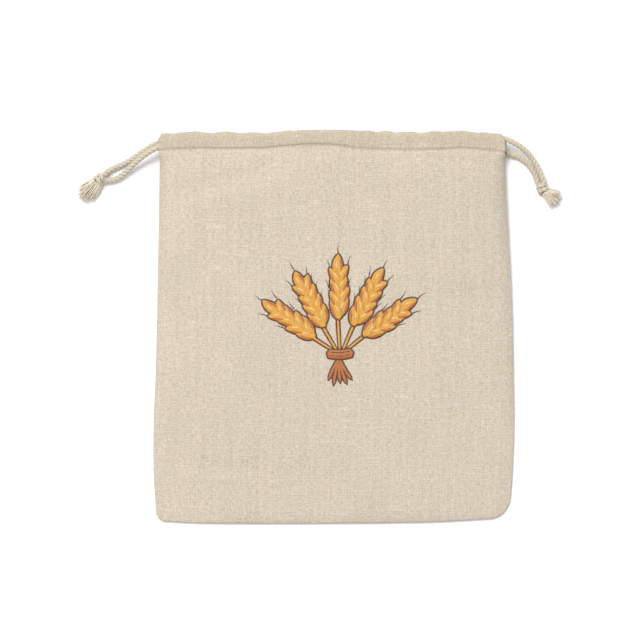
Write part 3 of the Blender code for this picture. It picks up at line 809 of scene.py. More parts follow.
def smooth_route(route, spacing):
    """Points at an even spacing on a smooth curve through a route's own points."""
    lengths = [0.0]
    for start, end in zip(route, route[1:]):
        lengths.append(lengths[-1] + (Vector(end) - Vector(start)).length)
    table = [(length, *point) for length, point in zip(lengths, route)]
    count = max(round(lengths[-1] / spacing), 2)
    return [
        Vector(tuple(read_table(table, lengths[-1] * step / count, column) for column in (1, 2, 3)))
        for step in range(count + 1)
    ]


def tube(shape, path, sides, reach, label=None):
    """Closed tube along a path in millimetres; reach gives its radius at a ring and round it."""
    uv = shape.loops.layers.uv.verify()
    before = set(shape.verts)
    made = bmesh.ops.create_grid(shape, x_segments=sides, y_segments=len(path) - 1, size=1)["verts"]
    tangents = [
        (path[min(ring + 1, len(path) - 1)] - path[max(ring - 1, 0)]).normalized() for ring in range(len(path))]
    side = tangents[0].orthogonal().normalized()
    place_on_cord = {}
    length = 0.0
    for ring, (place, tangent) in enumerate(zip(path, tangents)):
        if ring:
            side = tangents[ring - 1].rotation_difference(tangent) @ side
            length += (place - path[ring - 1]).length
        upward = tangent.cross(side)
        for step in range(sides + 1):
            vertex = made[ring * (sides + 1) + step]
            turn, radius = reach(ring, step % sides, length)
            angle = 2 * math.pi * step / sides + turn
            vertex.co = (place + (side * math.cos(angle) + upward * math.sin(angle)) * radius) * MM
            place_on_cord[vertex] = (step / sides if label is None else label, length * MM)
    faces = {face for vertex in made for face in vertex.link_faces}
    for face in faces:
        for loop in face.loops:
            loop[uv].uv = place_on_cord[loop.vert]
    bmesh.ops.remove_doubles(shape, verts=made, dist=0.002 * MM)
    new_faces = [face for face in shape.faces if not before.intersection(face.verts)]
    bmesh.ops.recalc_face_normals(shape, faces=new_faces)


PLY_SHARE = 0.55
PLY_POINTS = 8
END_ROUNDING = (0.0, 0.5, 0.8, 0.95)


def cord_reach(rings, radius):
    """Radius of a twisted cord round its section, closed and rounded at both ends."""
    cord = bpy.context.scene.bread_bag_cord
    half_ply = math.pi / cord.plies

    def reach(ring, step, length):
        angle = 2 * math.pi * step / (cord.plies * PLY_POINTS)
        beside = (angle + half_ply) % (2 * half_ply) - half_ply
        middle = 1 - PLY_SHARE
        share = middle * math.cos(beside) + math.sqrt(PLY_SHARE ** 2 - (middle * math.sin(beside)) ** 2)
        from_end = min(ring, rings - 1 - ring)
        rounding = END_ROUNDING[from_end] if from_end < len(END_ROUNDING) else 1.0
        return 2 * math.pi * length * MM / cord.twist_length, share * radius * rounding

    return reach


def twisted_cord(name, path, radius, material):
    """Cord of plies twisted together along a path in millimetres."""
    shape = bmesh.new()
    sides = bpy.context.scene.bread_bag_cord.plies * PLY_POINTS
    tube(shape, path, sides, cord_reach(len(path), radius))
    return finish_mesh(name, shape, material)


def lane_point(x, front, lane):
    """Middle of a cord lane inside a casing."""
    height = front_channel_height(x) if front else BACK_CHANNEL_HEIGHT
    return Vector((x, top_edge(x, front) - lane, height))


def casing_route(start_x, turn_x, turn_bow, front_lane, back_lane):
    """Route inside the casings: along the front, round the far side slit, and back along the back."""
    count = round(abs(turn_x - start_x) / RUN_POINT_SPACING)
    steps = [start_x + (turn_x - start_x) * step / count for step in range(count + 1)]
    points = [lane_point(x, True, front_lane) for x in steps]
    outward = math.copysign(TURN_REACH, turn_x)
    start = points[-1]
    end = lane_point(turn_x, False, back_lane)
    middle = (start + end) / 2
    for step in range(1, TURN_STEPS):
        angle = math.pi * step / TURN_STEPS
        place = middle + (start - middle) * math.cos(angle)
        points.append(place + Vector((outward * math.sin(angle), 0, -turn_bow * math.sin(2 * angle))))
    points += [lane_point(x, False, back_lane) for x in reversed(steps)]
    return smooth_route([tuple(point) for point in points], RUN_RING_SPACING)


def uneven(index, rate):
    """Repeatable value from -1 to 1 for a numbered thing."""
    return math.sin(rate * (index + 1) * (index + 3))


def knot_wraps(shape, centre, heading):
    """Turns of cord wound round the strands, their ends tucked in."""
    forward = Vector((math.cos(heading), math.sin(heading), 0))
    side = Vector((-forward.y, forward.x, 0))
    path = []
    for step in range(WRAP_POINTS + 1):
        share = step / WRAP_POINTS
        angle = 2 * math.pi * WRAP_TURNS * share
        tucked = ease(min(share, 1 - share) * WRAP_TUCK_RATE)
        along = WRAP_PITCH * WRAP_TURNS * (share - 0.5) + WRAP_TILT * math.cos(angle + WRAP_TILT_START)
        reach = WRAP_RADIUS * (WRAP_TUCK_SHARE + (1 - WRAP_TUCK_SHARE) * tucked)
        path.append(
            centre + forward * along + side * reach * math.cos(angle)
            + Vector((0, 0, WRAP_FLATNESS * reach * math.sin(angle))))
    sides = bpy.context.scene.bread_bag_cord.plies * PLY_POINTS
    tube(shape, path, sides, cord_reach(len(path), WRAP_CORD_RADIUS))


def frayed_tuft(shape, centre, heading, tip_reach, spread, tuft_height, early, rounding):
    """Untwisted threads of the plies, from the knot to their loose tips."""
    forward = Vector((math.cos(heading), math.sin(heading), 0))
    side = Vector((-forward.y, forward.x, 0))
    root_ahead, root_width, root_height = TUFT_ROOTS
    length_unevenness, width_unevenness, height_unevenness = TIP_UNEVENNESS
    for index in range(STRANDS):
        ring_share = math.sqrt((index + 0.5) / STRANDS)
        angle = index * GOLDEN_ANGLE
        across = ring_share * math.cos(angle)
        above = ring_share * math.sin(angle)
        root = centre + forward * root_ahead + side * across * root_width + Vector((0, 0, above * root_height))
        longer = 1 - rounding * across * across + length_unevenness * uneven(index, 1.7)
        wider = 1 + width_unevenness * uneven(index, 2.9)
        tip = centre + forward * tip_reach * longer + side * across * spread * wider
        level = (TIP_LEVELS[0] + TIP_LEVELS[1] * (above + 1)) * tuft_height
        tip.z = max(STRAND_RADIUS, level + height_unevenness * uneven(index, 4.3))
        path = []
        for step in range(STRAND_POINTS):
            share = step / (STRAND_POINTS - 1)
            place = root + (tip - root) * share
            place += side * ((tip - root).dot(side) * (share ** early - share))
            place.z = root.z + (tip.z - root.z) * share ** early
            wave = STRAND_WAVE * math.sin(math.pi * share)
            place += side * wave * math.sin(STRAND_WAVE_RATES[0] * share + index)
            place.z += wave * math.cos(STRAND_WAVE_RATES[1] * share + index)
            place.z = max(place.z, STRAND_RADIUS * 0.9)
            path.append(place)
        thick = STRAND_RADIUS * (1 + STRAND_UNEVENNESS * uneven(index, 3.3))

        def reach(ring, step, length):
            taper = 0.0 if ring in (0, STRAND_POINTS - 1) else 1 - STRAND_TAPER * ring / STRAND_POINTS
            return 0.0, thick * taper

        tube(shape, path, STRAND_SIDES, reach, label=0.5 + 0.5 * uneven(index, 0.9))


def read_surface(piece):
    """Finished surface of a piece, for laying other pieces on it."""
    depsgraph = bpy.context.evaluated_depsgraph_get()
    mesh = bpy.data.meshes.new_from_object(piece.evaluated_get(depsgraph))
    tree = BVHTree.FromPolygons([vertex.co for vertex in mesh.vertices], [face.vertices for face in mesh.polygons])
    return tree, mesh


def surface_point(surface, x, y, from_above):
    """Place, outward direction and flat place on a cloth's surface, above or below a point in millimetres."""
    tree, mesh = surface
    height = 1.0 if from_above else -1.0
    place, normal, index, _ = tree.ray_cast(Vector((x * MM, y * MM, height)), Vector((0, 0, -height)))
    face = mesh.polygons[index]
    weights = poly_3d_calc([mesh.vertices[corner].co for corner in face.vertices], place)
    uv = mesh.uv_layers[0].data
    flat = sum((uv[loop].uv * weight for loop, weight in zip(face.loop_indices, weights)), Vector((0, 0)))
    if normal.z * height < 0:
        normal = -normal
    return place, normal, flat


def casing_stitches(name, cloth_name, front, material):
    """Row of stitches that closes a casing, each half sunk in the cloth."""
    surface = read_surface(bpy.data.objects[cloth_name])
    shape = bmesh.new()
    count = int((STITCH_ENDS[1] - STITCH_ENDS[0]) / STITCH_STEP)
    for index in range(count):
        middle_x = STITCH_ENDS[0] + (index + 0.5) * STITCH_STEP
        path = []
        for step in range(STITCH_POINTS):
            share = step / (STITCH_POINTS - 1)
            x = middle_x + STITCH_LENGTH * (share - 0.5)
            y = casing_y(x, STITCH_DEPTH, front) + STITCH_WOBBLE * uneven(index, 1.3)
            place, normal, _ = surface_point(surface, x, y, front)
            place = place / MM + normal * (STITCH_ARCH * math.sin(math.pi * share) - STITCH_SUNK)
            place.z = max(place.z, STITCH_RADIUS)
            path.append(place)

        def reach(ring, step, length):
            rounding = 0.0 if ring in (0, STITCH_POINTS - 1) else 1.0
            return 0.0, STITCH_RADIUS * rounding

        tube(shape, path, STITCH_SIDES, reach, label=0.5 + 0.5 * uneven(index, 2.1))
    bpy.data.meshes.remove(surface[1])
    return finish_mesh(name, shape, material)


def linen_slubs(name, cloth_name, front, material):
    """Thick places of single weft threads, standing out of the weave."""
    surface = read_surface(bpy.data.objects[cloth_name])
    shape = bmesh.new()
    for index in range(SLUB_COUNT):
        across, along = ((index * step + start) % 1 for step, start in SLUB_SCATTER)
        x_middle = SLUB_HALF_FIELD * (2 * across - 1)
        y_middle = SLUB_LOWEST + SLUB_FIELD_LENGTH * along
        half = SLUB_HALF_LENGTH[0] + SLUB_HALF_LENGTH[1] * abs(uneven(index, 2.3)) ** 2
        path = []
        for step in range(SLUB_POINTS):
            x = x_middle + half * (2 * step / (SLUB_POINTS - 1) - 1)
            place, normal, _ = surface_point(surface, x, y_middle, front)
            path.append(place / MM - normal * (SLUB_SINK * SLUB_RADIUS))

        def reach(ring, step, length):
            share = ring / (SLUB_POINTS - 1)
            return 0.0, SLUB_RADIUS * math.sin(math.pi * share) ** SLUB_TAPER if 0 < share < 1 else 0.0

        tube(shape, path, STRAND_SIDES, reach, label=0.5 + 0.5 * uneven(index, 0.7))
    bpy.data.meshes.remove(surface[1])
    return finish_mesh(name, shape, material)


# Wheat sheaf of the print: middle of the binding, headings of its ears in degrees from +Y, lengths.
SHEAF = Vector((4.0, -16.0))
EAR_HEADINGS = (-56.0, -29.0, -1.0, 27.0, 55.0)
STEM_LENGTH = (18.0, 18.5, 20.5, 18.5, 17.5)
GRAIN_PAIRS = 4
GRAIN_STEP = 7.1
GRAIN_LENGTH = 13.2
GRAIN_WIDTH = 3.3
GRAIN_OPENING = 27.0
INK_COLUMNS = 4
INK_LEVELS = {"outline": 0.07, "grain": 0.12, "shade": 0.17, "light": 0.17}
INK_THICKNESS = 0.05


def heading(angle):
    """Direction in the plane for an angle in degrees from +Y towards +X."""
    return Vector((math.sin(math.radians(angle)), math.cos(math.radians(angle))))


def ink_stroke(shape, surface, path, width, level, widen=0.0):
    """Brush stroke of ink along a path on the front cloth; width gives its half width along it."""
    uv = shape.loops.layers.uv.verify()
    rings = len(path)
    made = bmesh.ops.create_grid(shape, x_segments=INK_COLUMNS, y_segments=rings - 1, size=1)["verts"]
    flat = {}
    for ring, place in enumerate(path):
        along = (path[min(ring + 1, rings - 1)] - path[max(ring - 1, 0)]).normalized()
        beside = Vector((-along.y, along.x))
        share = ring / (rings - 1)
        centre = place + along * widen * (2 * share - 1)
        half = width(share) + widen * math.sin(math.pi * share) ** 0.3 if 0 < share < 1 else 0.05
        for step in range(INK_COLUMNS + 1):
            vertex = made[ring * (INK_COLUMNS + 1) + step]
            point = centre + beside * half * (2 * step / INK_COLUMNS - 1)
            on_cloth, normal, flat_place = surface_point(surface, point.x, point.y, True)
            vertex.co = on_cloth + normal * level * MM
            flat[vertex] = flat_place
    for face in {face for vertex in made for face in vertex.link_faces}:
        if face.normal.z < 0:
            face.normal_flip()
        for loop in face.loops:
            loop[uv].uv = flat[loop.vert]


def straight(start, end, count=9, bow=0.0):
    """Points from start to end, with a slight bow to one side."""
    beside = Vector((start.y - end.y, end.x - start.x)) * bow
    return [
        start + (end - start) * step / (count - 1) + beside * math.sin(math.pi * step / (count - 1))
        for step in range(count)
    ]


def sheaf_strokes(line_width):
    """Strokes of the sheaf, lowest first: ink, path, half width along it, how much wider and longer."""
    strokes = []

    def outlined(ink, path, width):
        strokes.append(("outline", path, width, line_width))
        strokes.append((ink, path, width, 0.0))

    for index, (angle, stem) in enumerate(zip(EAR_HEADINGS, STEM_LENGTH)):
        direction = heading(angle)
        foot = SHEAF + heading(180 + 0.42 * angle) * (19.0 + 1.5 * uneven(index, 1.9))
        ear = SHEAF + direction * stem
        knee = SHEAF + Vector((direction.x * 2.4, 0.0))
        outlined("shade", straight(foot, knee, bow=0.04), lambda share: 0.75)
        outlined("grain", straight(knee, ear + direction * GRAIN_PAIRS * GRAIN_STEP, 14, 0.02), lambda share: 0.6)
    for index, (angle, stem) in enumerate(zip(EAR_HEADINGS, STEM_LENGTH)):
        direction = heading(angle)
        ear = SHEAF + direction * stem
        top = ear + direction * GRAIN_STEP * (GRAIN_PAIRS - 0.2)
        grains = []
        for pair in range(GRAIN_PAIRS):
            for side in (-1, 1):
                opening = side * (GRAIN_OPENING + 5 * uneven(index * 9 + pair, 1.1))
                root = ear + direction * (GRAIN_STEP * (pair + 0.25 * (side > 0)))
                grains.append((root, heading(angle + opening), side, 1.0 - 0.05 * pair))
        grains.append((top, direction, 1, 0.95))
        for number, (root, pointing, side, size) in enumerate(grains):
            length = GRAIN_LENGTH * size * (1 + 0.06 * uneven(number + index, 2.2))
            tip = root + pointing * length
            awn = tip + pointing * 4.5 + direction * 2.5
            strokes.append(("outline", straight(tip, awn, 6, 0.05 * side), lambda share: 0.42 * (1.1 - share), 0.0))
        for number, (root, pointing, side, size) in enumerate(reversed(grains)):
            length = GRAIN_LENGTH * size * (1 + 0.06 * uneven(number + index, 2.2))
            path = straight(root, root + pointing * length, 11, 0.05 * side)
            wide = GRAIN_WIDTH * size

            def grain_width(share, wide=wide):
                return wide * math.sin(math.pi * share ** 0.85) ** 0.75

            outlined("grain", path, grain_width)
            beside = Vector((-pointing.y, pointing.x)) * side
            shade = straight(
                root + pointing * length * 0.2 - beside * wide * 0.45,
                root + pointing * length * 0.8 - beside * wide * 0.25, 7, -0.08 * side)
            strokes.append(("shade", shade, lambda share: 0.75 * math.sin(math.pi * share) ** 0.6, 0.0))
            light = straight(
                root + pointing * length * 0.34 + beside * wide * 0.38,
                root + pointing * length * 0.72 + beside * wide * 0.22, 6, 0.08 * side)
            strokes.append(("light", light, lambda share: 0.45 * math.sin(math.pi * share) ** 0.6, 0.0))
    band_start = SHEAF + Vector((-8.0, -0.4))
    band_end = SHEAF + Vector((8.0, 0.2))
    outlined("shade", straight(band_start, band_end, 13, -0.06), lambda share: 2.6)
    for offset in (-1.1, 1.0):
        line = straight(band_start + Vector((1.5, offset)), band_end + Vector((-1.5, offset)), 11, -0.06)
        strokes.append(("outline_top", line, lambda share: 0.3, 0.0))
    return strokes


def add_node(tree, kind, values=None, links=None, **settings):
    """Add a node with its settings, its input values and links from other nodes' outputs."""
    node = tree.nodes.new(kind)
    for name, value in settings.items():
        setattr(node, name, value)
    for socket, value in (values or {}).items():
        node.inputs[socket].default_value = value
    for socket, source in (links or {}).items():
        tree.links.new(source, node.inputs[socket])
    return node


def plain_weave():
    """Node group of a plain weave on the flat cloth: its height, its thread tone and its slubs."""
    name = "plain weave"
    if name in bpy.data.node_groups:
        return bpy.data.node_groups[name]
    spacing = bpy.context.scene.bread_bag_cloth.thread_spacing
    tree = bpy.data.node_groups.new(name, "ShaderNodeTree")
    for output in ("Height", "Tone", "Slub"):
        tree.interface.new_socket(output, in_out="OUTPUT", socket_type="NodeSocketFloat")
    place = add_node(tree, "ShaderNodeTexCoord").outputs["UV"]
    split = add_node(tree, "ShaderNodeSeparateXYZ", links={0: place})
    waves = {}
    tones = {}
    for thread, along, across, streak in (("warp", 1, 0, 3.2 * MM), ("weft", 0, 1, 2.4 * MM)):
        drift_scale = [0.0, 0.0, 1.0]
        drift_scale[across] = 0.35 / spacing
        drift_scale[along] = 1 / (24 * MM)
        stretched = add_node(tree, "ShaderNodeMapping", {"Scale": drift_scale}, {"Vector": place})
        drift = add_node(
            tree, "ShaderNodeTexNoise", {"Scale": 1.0, "Detail": 2.0, "Roughness": 0.6},
            {"Vector": stretched.outputs[0]}, noise_dimensions="2D")
        count = add_node(
            tree, "ShaderNodeMath", {1: 1 / spacing}, {0: split.outputs[across]}, operation="MULTIPLY")
        wander = add_node(
            tree, "ShaderNodeMath", {1: 0.7}, {0: drift.outputs[0], 2: count.outputs[0]}, operation="MULTIPLY_ADD")
        turned = add_node(tree, "ShaderNodeMath", {1: math.pi}, {0: wander.outputs[0]}, operation="MULTIPLY")
        waves[thread] = add_node(tree, "ShaderNodeMath", links={0: turned.outputs[0]}, operation="SINE").outputs[0]
        tone_scale = [0.0, 0.0, 1.0]
        tone_scale[across] = 0.9 / spacing
        tone_scale[along] = 1 / streak
        thin = add_node(tree, "ShaderNodeMapping", {"Scale": tone_scale}, {"Vector": place})
        tones[thread] = add_node(
            tree, "ShaderNodeTexNoise", {"Scale": 1.0, "Detail": 3.0, "Roughness": 0.65},
            {"Vector": thin.outputs[0]}, noise_dimensions="2D").outputs[0]
    product = add_node(
        tree, "ShaderNodeMath", links={0: waves["warp"], 1: waves["weft"]}, operation="MULTIPLY").outputs[0]
    over = add_node(
        tree, "ShaderNodeMapRange", {"From Min": -0.12, "From Max": 0.12}, {"Value": product},
        interpolation_type="SMOOTHSTEP").outputs[0]
    rounded = {}
    for thread in ("warp", "weft"):
        size = add_node(tree, "ShaderNodeMath", links={0: waves[thread]}, operation="ABSOLUTE").outputs[0]
        rounded[thread] = add_node(tree, "ShaderNodeMath", {1: 0.6}, {0: size}, operation="POWER").outputs[0]
    heights = {}
    for thread, other in (("warp", "weft"), ("weft", "warp")):
        bowed = add_node(
            tree, "ShaderNodeMath", {1: 0.5, 2: 0.5}, {0: rounded[other]}, operation="MULTIPLY_ADD").outputs[0]
        heights[thread] = add_node(
            tree, "ShaderNodeMath", links={0: rounded[thread], 1: bowed}, operation="MULTIPLY").outputs[0]
    height = add_node(
        tree, "ShaderNodeMix", links={"Factor": over, 2: heights["weft"], 3: heights["warp"]}).outputs[0]
    tone = add_node(tree, "ShaderNodeMix", links={"Factor": over, 2: tones["weft"], 3: tones["warp"]}).outputs[0]
    slub_place = add_node(
        tree, "ShaderNodeMapping", {"Scale": (1 / (16 * MM), 0.55 / spacing, 1.0)}, {"Vector": place})
    slub_noise = add_node(
        tree, "ShaderNodeTexNoise", {"Scale": 1.0, "Detail": 1.0}, {"Vector": slub_place.outputs[0]},
        noise_dimensions="2D")
    slub = add_node(
        tree, "ShaderNodeMapRange", {"From Min": 0.62, "From Max": 0.74}, {"Value": slub_noise.outputs[0]},
        interpolation_type="SMOOTHSTEP").outputs[0]
    raised = add_node(tree, "ShaderNodeMath", {1: 0.7}, {0: slub, 2: height}, operation="MULTIPLY_ADD").outputs[0]
    add_node(tree, "NodeGroupOutput", links={"Height": raised, "Tone": tone, "Slub": slub})
    return tree


def new_material(name, roughness, sheen=0.0):
    """Material with its shader's even values set, its tree and its shader."""
    material = bpy.data.materials.new(name)
    material.use_nodes = True
    shader = material.node_tree.nodes["Principled BSDF"]
    shader.inputs["Roughness"].default_value = roughness
    shader.inputs["Sheen Weight"].default_value = sheen
    shader.inputs["Sheen Roughness"].default_value = 0.5
    shader.inputs["Specular IOR Level"].default_value = 0.25
    return material, material.node_tree, shader


def coarse_linen():
    """Undyed linen, plain woven from uneven spun threads and washed."""
    name = "undyed woven linen"
    if name in bpy.data.materials:
        return bpy.data.materials[name]
    cloth = bpy.context.scene.bread_bag_cloth
    # Matt, with pale and dark threads, painted shade in the gaps between them, soft slubs along the weft and a few
    # dark flecks of husk.
    material, tree, shader = new_material(name, roughness=0.92)
    weave = add_node(tree, "ShaderNodeGroup", node_tree=plain_weave())
    thread = add_node(tree, "ShaderNodeValToRGB", links={"Fac": weave.outputs["Tone"]})
    ramp = thread.color_ramp
    ramp.elements[0].position = 0.28
    ramp.elements[0].color = cloth.dark_colour
    ramp.elements[1].position = 0.74
    ramp.elements[1].color = cloth.light_colour
    ramp.elements.new(0.5).color = cloth.colour
    # Painted shade: where the weave lies low, between the threads, the colour is mixed towards a dark brown-grey.
    gap = add_node(
        tree, "ShaderNodeMapRange", {"From Min": 0.0, "From Max": 0.55, "To Min": 0.55, "To Max": 0.0},
        {"Value": weave.outputs["Height"]}).outputs[0]
    shaded = add_node(
        tree, "ShaderNodeMix", {7: linear("#988A75")}, {"Factor": gap, 6: thread.outputs["Color"]},
        data_type="RGBA").outputs[2]
    slub_share = add_node(
        tree, "ShaderNodeMath", {1: 0.15}, {0: weave.outputs["Slub"]}, operation="MULTIPLY").outputs[0]
    slubbed = add_node(
        tree, "ShaderNodeMix", {7: linear("#DCD2C3")}, {"Factor": slub_share, 6: shaded},
        data_type="RGBA").outputs[2]
    place = add_node(tree, "ShaderNodeTexCoord")
    fleck_place = add_node(
        tree, "ShaderNodeMapping", {"Scale": (1 / (3.2 * MM), 1 / (1.6 * MM), 1.0)},
        {"Vector": place.outputs["UV"]})
    fleck_noise = add_node(
        tree, "ShaderNodeTexNoise", {"Scale": 1.0, "Detail": 2.0}, {"Vector": fleck_place.outputs[0]},
        noise_dimensions="2D")
    fleck = add_node(
        tree, "ShaderNodeMapRange", {"From Min": 0.75, "From Max": 0.82, "To Max": 0.7},
        {"Value": fleck_noise.outputs[0]}).outputs[0]
    flecked = add_node(
        tree, "ShaderNodeMix", {7: linear("#85765F")}, {"Factor": fleck, 6: slubbed},
        data_type="RGBA").outputs[2]
    cloud = add_node(
        tree, "ShaderNodeTexNoise", {"Scale": 28.0, "Detail": 5.0, "Roughness": 0.78},
        {"Vector": place.outputs["Object"]})
    clouded = add_node(
        tree, "ShaderNodeMapRange", {"From Min": 0.25, "From Max": 0.75, "To Min": 0.96, "To Max": 1.035},
        {"Value": cloud.outputs[0]}).outputs[0]
    band_place = add_node(
        tree, "ShaderNodeMapping", {"Scale": (1 / (2.7 * MM), 1 / (46 * MM), 1.0)},
        {"Vector": place.outputs["UV"]})
    bands = add_node(
        tree, "ShaderNodeTexNoise", {"Scale": 1.0, "Detail": 0.0}, {"Vector": band_place.outputs[0]},
        noise_dimensions="2D")
    banded = add_node(
        tree, "ShaderNodeMapRange", {"From Min": 0.25, "From Max": 0.75, "To Min": 0.975, "To Max": 1.025},
        {"Value": bands.outputs[0]}).outputs[0]
    uneven_dye = add_node(
        tree, "ShaderNodeMath", links={0: clouded, 1: banded}, operation="MULTIPLY").outputs[0]
    # Painted shade: across the casings the colour is multiplied by a slightly darker, warmer tint, so they look a
    # little deeper and warmer.
    split = add_node(tree, "ShaderNodeSeparateXYZ", links={0: place.outputs["Object"]})
    casing_shade_share = add_node(
        tree, "ShaderNodeMapRange", {"From Min": 108.5 * MM, "From Max": 112.0 * MM}, {"Value": split.outputs["Y"]}
    ).outputs[0]
    casing_shaded_colour = add_node(
        tree, "ShaderNodeMix", {7: linear("#F4F1EC")}, {"Factor": casing_shade_share, 6: flecked}, data_type="RGBA",
        blend_type="MULTIPLY").outputs[2]
    colour = add_node(
        tree, "ShaderNodeVectorMath", links={0: casing_shaded_colour, "Scale": uneven_dye}, operation="SCALE").outputs[0]
    tree.links.new(colour, shader.inputs["Base Color"])
    bump = add_node(
        tree, "ShaderNodeBump", {"Strength": 0.55, "Distance": 0.3 * MM}, {"Height": weave.outputs["Height"]})
    tree.links.new(bump.outputs[0], shader.inputs["Normal"])
    return material


def printed_ink(name, colour):
    """Matt water-based ink, screen printed: the weave shows through it."""
    # Flat and dry, with a little cloth between the threads.
    material, tree, shader = new_material(name, roughness=0.85)
    cloth = bpy.context.scene.bread_bag_cloth
    weave = add_node(tree, "ShaderNodeGroup", node_tree=plain_weave())
    cover = add_node(
        tree, "ShaderNodeMapRange", {"From Min": 0.1, "From Max": 0.6, "To Min": 0.45, "To Max": 0.06},
        {"Value": weave.outputs["Height"]}).outputs[0]
    inked = add_node(
        tree, "ShaderNodeMix", {6: colour, 7: cloth.colour}, {"Factor": cover}, data_type="RGBA").outputs[2]
    worn = add_node(
        tree, "ShaderNodeMapRange", {"From Min": 0.3, "From Max": 0.7, "To Min": 0.86, "To Max": 1.1},
        {"Value": weave.outputs["Tone"]}).outputs[0]
    toned = add_node(tree, "ShaderNodeVectorMath", links={0: inked, "Scale": worn}, operation="SCALE").outputs[0]
    tree.links.new(toned, shader.inputs["Base Color"])
    bump = add_node(
        tree, "ShaderNodeBump", {"Strength": 0.4, "Distance": 0.3 * MM}, {"Height": weave.outputs["Height"]})
    tree.links.new(bump.outputs[0], shader.inputs["Normal"])
    return material


def spun_cotton(name, colour, dark_colour, dark_share, stripes):
    """Undyed cotton yarn: soft fibres that lie across the ply, with painted shade where they lie deep."""
    material, tree, shader = new_material(name, roughness=0.95, sheen=0.08)
    place = add_node(tree, "ShaderNodeTexCoord")
    fibre_place = add_node(
        tree, "ShaderNodeMapping", {"Scale": (stripes, 1 / (1.4 * MM), 1.0)}, {"Vector": place.outputs["UV"]})
    fibres = add_node(
        tree, "ShaderNodeTexWave", {"Scale": 1.0, "Distortion": 2.5, "Detail": 2.0, "Detail Scale": 1.5},
        {"Vector": fibre_place.outputs[0]}, bands_direction="DIAGONAL")
    fuzz = add_node(
        tree, "ShaderNodeTexNoise", {"Scale": 1 / (1.1 * MM), "Detail": 4.0, "Roughness": 0.65},
        {"Vector": place.outputs["Object"]})
    height = add_node(
        tree, "ShaderNodeMath", {1: 0.5}, {0: fibres.outputs["Fac"], 2: fuzz.outputs[0]},
        operation="MULTIPLY_ADD").outputs[0]
    # Painted shade: where the fibres and fuzz lie low, the colour is mixed towards the dark colour, by up to
    # dark_share.
    deep = add_node(
        tree, "ShaderNodeMapRange", {"From Min": 0.35, "From Max": 0.95, "To Min": dark_share, "To Max": 0.0},
        {"Value": height}).outputs[0]
    mixed = add_node(
        tree, "ShaderNodeMix", {6: colour, 7: dark_colour}, {"Factor": deep}, data_type="RGBA").outputs[2]
    tree.links.new(mixed, shader.inputs["Base Color"])
    bump = add_node(tree, "ShaderNodeBump", {"Strength": 0.5, "Distance": 0.25 * MM}, {"Height": height})
    tree.links.new(bump.outputs[0], shader.inputs["Normal"])
    return material


def shared_material(name, maker, *settings):
    """Material by name, made when it is first needed."""
    return bpy.data.materials.get(name) or maker(name, *settings)


def twisted_cotton():
    """Undyed cotton of the drawstrings: fluffy, pale, with painted shade in its grooves."""
    cord = bpy.context.scene.bread_bag_cord
    return shared_material("twisted undyed cotton", spun_cotton, cord.colour, cord.groove_shade_colour, 0.6, 12.0)


class BREADBAG_OT_stage(bpy.types.Operator):
    """Set up the table, the light and the camera"""

    bl_idname = "bread_bag.set_stage"
    bl_label = "Table, light and camera"

    def execute(self, context):
        scene = context.scene
        stage = scene.bread_bag_stage
        scene.view_settings.view_transform = "Standard"
        # A matt white sheet: even and pale, with the faintest tooth.
        material, tree, shader = new_material("matt white table", roughness=0.9)
        place = add_node(tree, "ShaderNodeTexCoord")
        tooth = add_node(
            tree, "ShaderNodeTexNoise", {"Scale": 1 / (2 * MM), "Detail": 2.0},
            {"Vector": place.outputs["Object"]})
        bump = add_node(
            tree, "ShaderNodeBump", {"Strength": 0.05, "Distance": 0.1 * MM}, {"Height": tooth.outputs[0]})
        tree.links.new(bump.outputs[0], shader.inputs["Normal"])
        shader.inputs["Base Color"].default_value = stage.table_colour
        table = bmesh.new()
        bmesh.ops.create_grid(table, x_segments=1, y_segments=1, size=TABLE_SIZE)
        mesh = bpy.data.meshes.new("table")
        table.to_mesh(mesh)
        table.free()
        mesh.materials.append(material)
        floor = bpy.data.objects.new("table", mesh)
        scene.collection.objects.link(floor)
        camera_data = bpy.data.cameras.new("camera above the bag")
        camera_data.sensor_width = SENSOR_WIDTH
        camera_data.lens = camera_data.sensor_width * stage.camera_height / stage.view_width
        camera_data.clip_end = CAMERA_REACH
        camera = bpy.data.objects.new("camera above the bag", camera_data)
        camera.location = (*CAMERA_PLACE, stage.camera_height)
        scene.collection.objects.link(camera)
        scene.camera = camera
        window = bpy.data.lights.new("window", "AREA")
        window.energy = stage.window_power
        window.size = WINDOW_SIZE
        window.color = WINDOW_COLOUR
        window_object = bpy.data.objects.new("window", window)
        window_object.location = WINDOW_PLACE
        window_object.rotation_euler = (-window_object.location).to_track_quat("-Z", "Y").to_euler()
        scene.collection.objects.link(window_object)
        world = bpy.data.worlds.new("even sky")
        world.use_nodes = True
        sky = world.node_tree.nodes["Background"]
        sky.inputs["Color"].default_value = SKY_COLOUR
        sky.inputs["Strength"].default_value = stage.sky_strength
        scene.world = world
        return {"FINISHED"}


